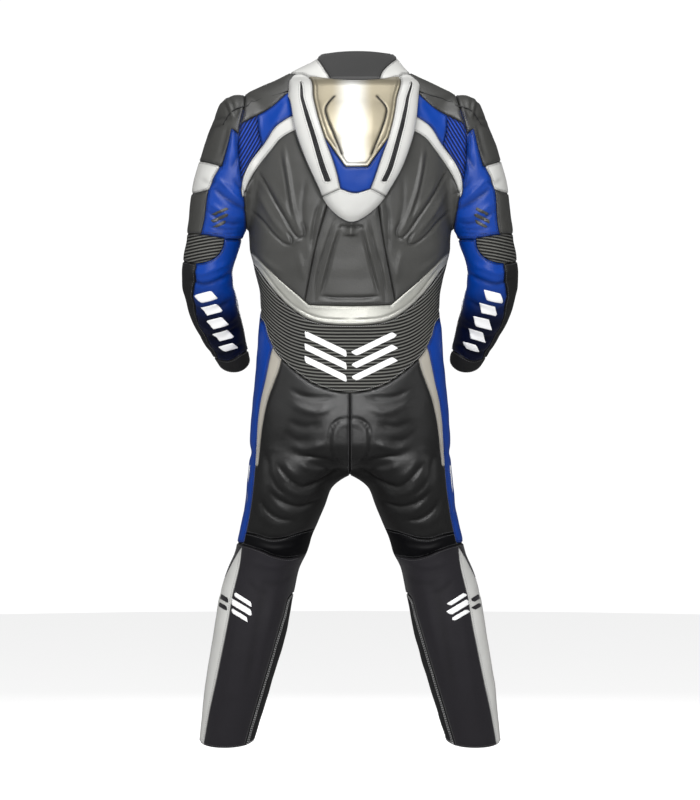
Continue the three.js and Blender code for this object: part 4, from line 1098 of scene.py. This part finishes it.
BLUE = rgb(0, 51, 134)
# dark is how strongly each look takes the painted shade and highlight of the attribute edge
LOOKS = {
    "black": material("black leather", rgb(55, 55, 53), 0.44, grain_depth=0.00012, spread=0.12, dark=0.8),
    "blue": material("blue leather", BLUE, 0.42, grain_depth=0.0001, spread=0.1, dark=0.75, spec=0.3),
    "silver": material("silver leather", rgb(193, 193, 190), 0.45, metal=0.15, grain_depth=0.00008, spread=0.05, dark=0.6, spec=0.4),
    "foil": material("silver foil leather", rgb(166, 166, 159), 0.42, metal=0.5, grain_depth=0.00008, spread=0.12, dark=0.6),
    # the lighter middle stripe is a painted highlight for the lamp's reflection
    "steel": material("bright plate", rgb(146, 138, 118), 0.44, metal=0.6, spread=0.1, dark=0.97, painted_highlight=(-0.004, 0.021, rgb(200, 200, 196))),
    "neoprene": material("neoprene", rgb(52, 52, 52), 0.85, grain_depth=0.0001, sheen=0.1, spec=0.25),
    "stretch": material("black stretch cloth", rgb(22, 20, 25), 0.75, grain=700, grain_depth=0.00015, sheen=0.06, spec=0.25),
    # its rib grooves are darkened as painted shade
    "bluestretch": material("ribbed blue cloth", rgb(14, 62, 165), 0.6, grain_depth=0.0001, rib=0.0018, painted_rib_shade=0.85, spec=0.3),
    "zip": material("zip tape", rgb(24, 24, 26), 0.8, grain_depth=0.0001),
    "metal": material("satin metal", rgb(170, 170, 172), 0.32, metal=1.0, spread=0.02),
}
# the grey base reads as painted highlight on the rib crests; the grooves are darkened almost to black as painted shade
RIB_BLACK = material("ribbed black cloth", rgb(98, 98, 94), 0.65, grain_depth=0.0001, rib=0.0022, painted_rib_shade=0.96, spec=0.2)
SLEEVE_BLUE = material("blue leather, darker at the wrist", BLUE, 0.4, grain_depth=0.0001, fade=(-0.375, -0.465, rgb(3, 7, 30)), dark=0.75, spec=0.22)
KNEE = material("black knee cloth", rgb(5, 5, 7), 0.55, grain_depth=0.0001, spec=0.15)
# a darker copy of the black leather: painted shade for the seat and the backs of the thighs, which get less light from
# above than the upper back
SEAT_BLACK_PAINTED_SHADE = material("plain black leather", rgb(18, 18, 18), 0.42, grain_depth=0.00012, spread=0.12, dark=0.85, spec=0.5)
DULL_BLACK = material("dull black leather", rgb(24, 24, 25), 0.55, grain_depth=0.00012, spread=0.12, dark=0.8, spec=0.3)
STRIP_GREY = material("warm grey leather", rgb(158, 153, 143), 0.5, metal=0.1, grain_depth=0.00008, spread=0.06, dark=0.6, spec=0.35)
LOOK_FOR_NODE = {"side_strip": STRIP_GREY, 
    "lumbar_stretch": RIB_BLACK, "elbow_stretch": RIB_BLACK, "forearm": SLEEVE_BLUE, "knee_back": KNEE,
    "seat": SEAT_BLACK_PAINTED_SHADE, "cuff": DULL_BLACK, "forearm_outer": DULL_BLACK, "calf_inner": DULL_BLACK, "hump_stripe": DULL_BLACK,
}


def object_from(name, verts, faces, mats, attributes=None, indices=None):
    """verts in metres in the row frame; faces as an (n, 3) or (n, 4) array."""
    me = bpy.data.meshes.new(name)
    n, m, k = len(verts), len(faces), faces.shape[1]
    me.vertices.add(n)
    me.vertices.foreach_set("co", np.ascontiguousarray(verts, np.float32).ravel())
    me.loops.add(m * k)
    me.loops.foreach_set("vertex_index", np.ascontiguousarray(faces, np.int32).ravel())
    me.polygons.add(m)
    me.polygons.foreach_set("loop_start", np.arange(0, m * k, k, dtype=np.int32))
    me.polygons.foreach_set("loop_total", np.full(m, k, np.int32))
    me.polygons.foreach_set("use_smooth", np.ones(m, bool))
    for mat in mats:
        me.materials.append(mat)
    if indices is not None:
        me.polygons.foreach_set("material_index", np.ascontiguousarray(indices, np.int32))
    for key, values in (attributes or {}).items():
        a = me.attributes.new(key, "FLOAT", "POINT")
        a.data.foreach_set("value", np.ascontiguousarray(values, np.float32))
    me.update(calc_edges=True)
    me.validate()
    o = bpy.data.objects.new(name, me)
    bpy.context.scene.collection.objects.link(o)
    return o


PIECE_OBJECTS = {}
for pan in PANELS.values():
    n = len(pan.p)
    both = place(np.vstack([pan.out, pan.inn])) / 1000
    a, b = pan.rim[:, 0], pan.rim[:, 1]
    faces = np.vstack([pan.t, pan.t[:, ::-1] + n, np.stack([b, a, a + n], -1), np.stack([b, a + n, b + n], -1)])
    # the attribute edge carries the painted shade and highlight from lift()
    attrs = {"edge": np.concatenate([pan.tone, pan.tone])}
    if pan.node in RIBBED:
        ph = rib_phase(pan.node, pan.p)
        attrs["rib"] = np.concatenate([ph, ph])
    look = LOOK_FOR_NODE.get(pan.node, LOOKS[pan.look])
    o = object_from(pan.name + "_cloth", both, faces, [look], attrs)
    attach(o, "suit")
    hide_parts(pan.name)
    PIECE_OBJECTS[pan.name] = o
    # the cut's flat size, from the piece before it is puffed and folded
    p = place(pan.p)
    tri = p[pan.t]
    area = float(np.linalg.norm(np.cross(tri[:, 1] - tri[:, 0], tri[:, 2] - tri[:, 0]), axis=1).sum() / 2) / 1e6
    c = p - p.mean(0)
    long_axis = np.linalg.svd(c[:: max(1, len(c) // 1500)], full_matrices=False)[2][0]
    length = float(np.ptp(c @ long_axis)) / 1000
    width = area / length
    pan.flat = (width * 1.35, length * 1.02)


# ---------- marks laid on the pieces: plain slanted bars ----------------------
def bar(x0, z0, x1, z1, wide, slant=0.0):
    """A bar from one point to another, as wide as given, its ends slanted."""
    a, b = np.array((x0, z0), float), np.array((x1, z1), float)
    t = (b - a) / np.linalg.norm(b - a)
    n = np.array((-t[1], t[0])) * wide / 2
    s = t * slant
    return np.array([a - n - s, b - n - s, b + n + s, a + n + s])


MARKS = []  # name, piece, outlines, look, how far it stands off
for tag, side in (("L", 1), ("R", -1)):
    MARKS.append(("calf_bars_" + tag, "calf_" + tag, [
        bar(side * 231, -1008, side * 197, -1030, 8, 4), bar(side * 238, -1022, side * 197, -1047, 11, 4), bar(side * 236, -1041, side * 205, -1060, 8, 4),
    ], None, 0.6))
    MARKS.append(("calf_strip_bars_" + tag, "calf_strip_" + tag, [
        bar(side * 262, -1010, side * 243, -1022, 9, 4), bar(side * 262, -1028, side * 245, -1038, 8, 4),
    ], LOOKS["stretch"], 0.6))
    MARKS.append(("sleeve_bars_" + tag, "forearm_" + tag, [
        bar(side * 271, -408, side * 303, -416, 18, 5), bar(side * 261, -434, side * 292, -442, 18, 5),
        bar(side * 250, -460, side * 280, -468, 18, 5), bar(side * 239, -486, side * 268, -494, 18, 5), bar(side * 229, -510, side * 256, -517, 14, 5),
    ], None, 0.6))
    MARKS.append(("arm_bars_" + tag, "sleeve_upper_" + tag, [
        bar(side * 248, -236, side * 276, -250, 6, 3), bar(side * 246, -248, side * 278, -264, 7, 3), bar(side * 248, -262, side * 274, -275, 6, 3),
    ], LOOKS["black"], 0.5))
lumbar = []
for low in (-578, -553, -528):
    for side in (1, -1):
        lumbar.append(bar(side * 7, low, side * 90, low + 40, 12, 4))
MARKS.append(("lumbar_bars", "lumbar_stretch", lumbar, None, 0.7))
WHITE_PRINT = material("white print", rgb(222, 222, 222), 0.5, grain_depth=0.00005, spread=0.02)
for name, piece, shapes, look, off in MARKS:
    pan = PANELS[piece]
    vs, ts, count = [], [], 0
    for poly in shapes:
        s = Skin(pan.p.copy(), pan.t.copy())
        area = (poly[:, 0] * np.roll(poly[:, 1], -1) - poly[:, 1] * np.roll(poly[:, 0], -1)).sum()
        f = inside_distance(s.v[:, [0, 2]], poly if area > 0 else poly[::-1])
        half = at("sleeve", s.v[:, 2])[2] if piece.startswith(("sleeve", "forearm", "arm")) else side_depth(s.v[:, 2])
        f = np.maximum(f, half + (24 if piece.startswith("calf_strip") else 0) - s.v[:, 1])
        live = (f[s.t] < 11).any(1)
        inside = s.cut(f, live)
        t = s.t[inside]
        if not len(t):
            continue
        used, inv = np.unique(t, return_inverse=True)
        p = s.v[used]
        vs.append(p)
        ts.append(inv.reshape(-1, 3) + count)
        count += len(p)
    p, t = np.vstack(vs), np.vstack(ts)
    g = gradient(p)
    n = g / np.linalg.norm(g, axis=1, keepdims=True)
    top = p + n * (lift(pan, p, edge_distance(pan, p))[0] + off)[:, None]
    low = top - n * (off + 0.25)
    e = np.concatenate([t[:, [0, 1]], t[:, [1, 2]], t[:, [2, 0]]])
    _, at_i, cnt = np.unique(np.sort(e, 1), axis=0, return_index=True, return_counts=True)
    rim = e[at_i[cnt == 1]]
    k = len(p)
    a, b = rim[:, 0], rim[:, 1]
    faces = np.vstack([t, t[:, ::-1] + k, np.stack([b, a, a + k], -1), np.stack([b, a + k, b + k], -1)])
    o = object_from(name, place(np.vstack([top, low])) / 1000, faces, [look or WHITE_PRINT])
    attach(o, "suit")


# ---------- stitches ----------
def loops_of(pan):
    """Ordered loops of rim points, the piece on the left."""
    nxt = {}
    for a, b in pan.rim:
        nxt.setdefault(int(a), []).append(int(b))
    out = []
    while nxt:
        start = next(iter(nxt))
        loop, at_p = [start], start
        while at_p in nxt:
            b = nxt[at_p].pop()
            if not nxt[at_p]:
                del nxt[at_p]
            if b == start:
                break
            loop.append(b)
            at_p = b
        if len(loop) > 12:
            out.append(loop)
    return out


THREADS = {
    "black": material("grey thread", rgb(70, 70, 72), 0.7),
    "blue": material("dark thread", rgb(14, 26, 70), 0.7),
    "silver": material("pale thread", rgb(150, 150, 150), 0.7),
    "light": material("light thread", rgb(150, 150, 150), 0.7),
}


def dashes(pan, offset, every, length, wide):
    """Ends and frames of the stitches of one row, on the finished surface."""
    starts, ends = [], []
    for loop in loops_of(pan):
        p, n = pan.p[loop], pan.n[loop]
        p = np.vstack([p, p[:1]])
        n = np.vstack([n, n[:1]])
        for _ in range(2):
            p[1:-1] = (p[:-2] + p[2:] + 2 * p[1:-1]) / 4
        seg = np.linalg.norm(np.diff(p, axis=0), axis=1)
        s = np.concatenate([[0], np.cumsum(seg)])
        if s[-1] < 60:
            continue
        k = int(s[-1] / every)
        for lst, shift in ((starts, 0.0), (ends, length)):
            u = np.arange(k) * every + shift
            pos = np.stack([np.interp(u, s, p[:, i]) for i in range(3)], -1)
            nor = np.stack([np.interp(u, s, n[:, i]) for i in range(3)], -1)
            fwd = np.stack([np.interp(u + 5, s, p[:, i]) - np.interp(u - 5, s, p[:, i]) for i in range(3)], -1)
            fwd /= np.linalg.norm(fwd, axis=1, keepdims=True) + 1e-9
            inward = np.cross(nor, fwd)
            inward /= np.linalg.norm(inward, axis=1, keepdims=True) + 1e-9
            lst.append(pos + inward * offset)
    if not starts:
        return None
    a, b = onto(np.vstack(starts), 1), onto(np.vstack(ends), 1)
    d = edge_distance(pan, a)
    good = (d > offset * 0.6) & (np.linalg.norm(b - a, axis=1) < length * 1.6)
    a, b, d = a[good], b[good], d[good]
    if not len(a):
        return None
    g = gradient(a)
    n = g / np.linalg.norm(g, axis=1, keepdims=True)
    up = (lift(pan, a, d)[0] + 0.15)[:, None] * n
    t = b - a
    side = np.cross(t, n)
    side = side / (np.linalg.norm(side, axis=1, keepdims=True) + 1e-9) * wide / 2
    a, b = a + up, b + up
    rise = n * wide * 0.55
    sink = n * wide * 0.3
    return np.stack([a - side - sink, a + side - sink, b + side - sink, b - side - sink, a - side * 0.5 + rise, a + side * 0.5 + rise, b + side * 0.5 + rise, b - side * 0.5 + rise], 1)


BOX = np.array([(0, 1, 2), (0, 2, 3), (4, 6, 5), (4, 7, 6), (0, 5, 1), (0, 4, 5), (1, 6, 2), (1, 5, 6), (2, 7, 3), (2, 6, 7), (3, 4, 0), (3, 7, 4)])
for key in THREADS:
    rows = []
    for pan in PANELS.values():
        mine = {"foil": "silver", "bluestretch": "blue", "stretch": "black", "neoprene": "black"}.get(pan.look, pan.look)
        if pan.node in ("calf_inner", "lumbar_stretch"):
            mine = "light"
        if mine != key or pan.node in ("hump_plate", "zip_tape"):
            continue
        for offset in (3.2, 6.4) if pan.node in ("calf_inner", "back_centre", "waist_band", "sleeve_upper") else (3.2,):
            r = dashes(pan, offset, 4.6, 2.9, 0.9)
            if r is not None:
                rows.append(r)
    boxes = np.concatenate(rows)
    verts = place(boxes.reshape(-1, 3)) / 1000
    faces = (BOX[None] + (np.arange(len(boxes)) * 8)[:, None, None]).reshape(-1, 3)
    o = object_from("stitches_" + key, verts, faces, [THREADS[key]])
    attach(o, "suit")

# ---------- piping ----------
def cord(name, lines, depth, radius, look):
    """Round cords laid along smooth lines of the elevation; depth gives y for each point before it meets the skin."""
    verts, faces, count = [], [], 0
    for line in lines:
        c = through(np.array(line, float), 10)
        p = onto(np.column_stack([c[:, 0], np.full(len(c), depth), c[:, 1]]), 6, 40)
        g = gradient(p)
        n = g / np.linalg.norm(g, axis=1, keepdims=True)
        p = p + n * radius * 0.6
        t = np.gradient(p, axis=0)
        t /= np.linalg.norm(t, axis=1, keepdims=True)
        b = np.cross(t, n)
        turn = np.arange(8) * math.pi / 4
        ring = p[:, None] + radius * (np.cos(turn)[None, :, None] * n[:, None] + np.sin(turn)[None, :, None] * b[:, None])
        m = len(p)
        i, j = np.meshgrid(np.arange(m - 1), np.arange(8), indexing="ij")
        i, j = i.ravel(), j.ravel()
        k = (j + 1) % 8
        faces.append(np.stack([i * 8 + j, i * 8 + k, (i + 1) * 8 + k, (i + 1) * 8 + j], -1) + count)
        ends = np.array([(7 - q) for q in range(8)])
        faces.append(np.array([(ends[0], ends[1], ends[2], ends[3]), (ends[0], ends[3], ends[4], ends[7]), (ends[4], ends[5], ends[6], ends[7])]) + count)
        top = (m - 1) * 8 + np.arange(8)
        faces.append(np.array([(top[0], top[1], top[2], top[3]), (top[0], top[3], top[4], top[7]), (top[4], top[5], top[6], top[7])]) + count)
        verts.append(ring.reshape(-1, 3))
        count += m * 8
    o = object_from(name, place(np.vstack(verts)) / 1000, np.vstack(faces), [look])
    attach(o, "suit")
    return o


def both_sides(line):
    return [[(x, z) for x, z in line], [(-x, z) for x, z in line]]


cord("thigh_piping", both_sides(px((256.8, 466), (254.6, 480), (252.3, 500), (249.6, 519))), 30, 1.0, LOOKS["silver"])
cord("shoulder_piping", both_sides(px((300, 72), (281, 82), (259, 88), (245, 97), (230, 106), (221, 112.5), (214.6, 121.4))), 60, 1.2, DULL_BLACK)

# ---------- zip ----------
zs = np.arange(46, -628, -2.6)
teeth = []
for i, z in enumerate(zs):
    side = 1 if i % 2 else -1
    teeth.append((side * 1.1, -100.0, z))
c = onto(np.array(teeth) * (0, 1, 1) + (0, 0, 0), 4, 30)
c = c + np.array(teeth) * (1, 0, 0)
g = gradient(c)
n = g / np.linalg.norm(g, axis=1, keepdims=True)
tape = PANELS["zip_tape"]
c = c + n * (lift(tape, c, np.full(len(c), 8.0))[0] + 0.2)[:, None]
boxes = np.stack([c + np.array(o) for o in ((-2.2, 0.3, -0.8), (2.2, 0.3, -0.8), (2.2, 0.3, 0.8), (-2.2, 0.3, 0.8), (-1.9, -1.3, -0.6), (1.9, -1.3, -0.6), (1.9, -1.3, 0.6), (-1.9, -1.3, 0.6))], 1)
faces = (BOX[None] + (np.arange(len(boxes)) * 8)[:, None, None]).reshape(-1, 3)
o = object_from("zip_teeth", place(boxes.reshape(-1, 3)) / 1000, faces, [LOOKS["metal"]])
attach(o, "suit")
for name in ("zip_slider", "zip_pull"):
    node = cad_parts[name]
    node.data.materials.clear()
    node.data.materials.append(LOOKS["metal"])


# ---------- stage ----------
def area_light(name, at_point, to, size, power, colour=(1, 1, 1)):
    d = bpy.data.lights.new(name, "AREA")
    d.shape = "RECTANGLE"
    d.size, d.size_y = size
    d.energy = power
    d.color = colour
    o = bpy.data.objects.new(name, d)
    bpy.context.scene.collection.objects.link(o)
    o.location = at_point
    o.rotation_euler = (Vector(to) - Vector(at_point)).to_track_quat("-Z", "Y").to_euler()
    return o


def plain_light(name, strength, base):
    """A pale matte surface that glows a little, so that it reads as lit paper."""
    m = material(name, base, 0.9, spread=0.0)
    bsdf = m.node_tree.nodes["Principled BSDF"]
    bsdf.inputs["Emission Color"].default_value = (1, 1, 1, 1)
    bsdf.inputs["Emission Strength"].default_value = strength
    return m


turn = np.linspace(0, 2 * math.pi, 49)[:-1]
ring = np.stack((9 * np.cos(turn), 9 * np.sin(turn)), -1)
disc = np.vstack([np.column_stack([ring, np.full(48, -1.8)]), [(0, 0, -1.8)]])
k = np.arange(48)
floor = object_from("floor", disc, np.stack([k, (k + 1) % 48, np.full(48, 48)], -1), [plain_light("floor", 0.78, rgb(200, 200, 200))])
wall = np.vstack([np.column_stack([ring, np.full(48, -1.8)]), np.column_stack([ring, np.full(48, 6.0)])])
backdrop = object_from("backdrop", wall, np.stack([k, k + 48, (k + 1) % 48 + 48, (k + 1) % 48], -1), [plain_light("backdrop", 1.0, rgb(60, 60, 60))])
for o in (floor, backdrop):
    o.visible_glossy = False
backdrop.visible_diffuse = False
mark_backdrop(floor, backdrop)
world = bpy.data.worlds.new("studio")
bpy.context.scene.world = world
world.use_nodes = True
bg = world.node_tree.nodes["Background"]
bg.inputs[0].default_value = (1, 1, 1, 1)
bg.inputs[1].default_value = 0.12
area_light("key", (0.3, 3.2, 2.5), (0, 0, -0.4), (1.6, 0.8), 135)
area_light("front", (0, 5.6, 0.4), (0, 0, -0.4), (1.0, 1.0), 150)
area_light("left", (3.0, 1.7, 0.1), (0, 0, -0.5), (0.7, 2.4), 14)
area_light("right", (-3.0, 1.7, 0.1), (0, 0, -0.5), (0.7, 2.4), 12)
area_light("far", (0, -4.6, 0.5), (0, 0, -0.5), (1.6, 1.6), 60)
area_light("sky", (0, 0.3, 2.8), (0, 0, -0.3), (2.4, 1.2), 40)

cam = bpy.data.cameras.new("camera")
cam.sensor_width = 36
cam.lens = 112.5
cam.clip_end = 60
cam_obj = bpy.data.objects.new("camera", cam)
bpy.context.scene.collection.objects.link(cam_obj)
cam_obj.location = (0, VIEW_DISTANCE / 1000, VIEW_HEIGHT / 1000)
cam_obj.rotation_euler = (math.pi / 2, 0, math.pi)
bpy.context.scene.camera = cam_obj
bpy.context.scene.view_settings.view_transform = "Standard"

lo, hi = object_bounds()
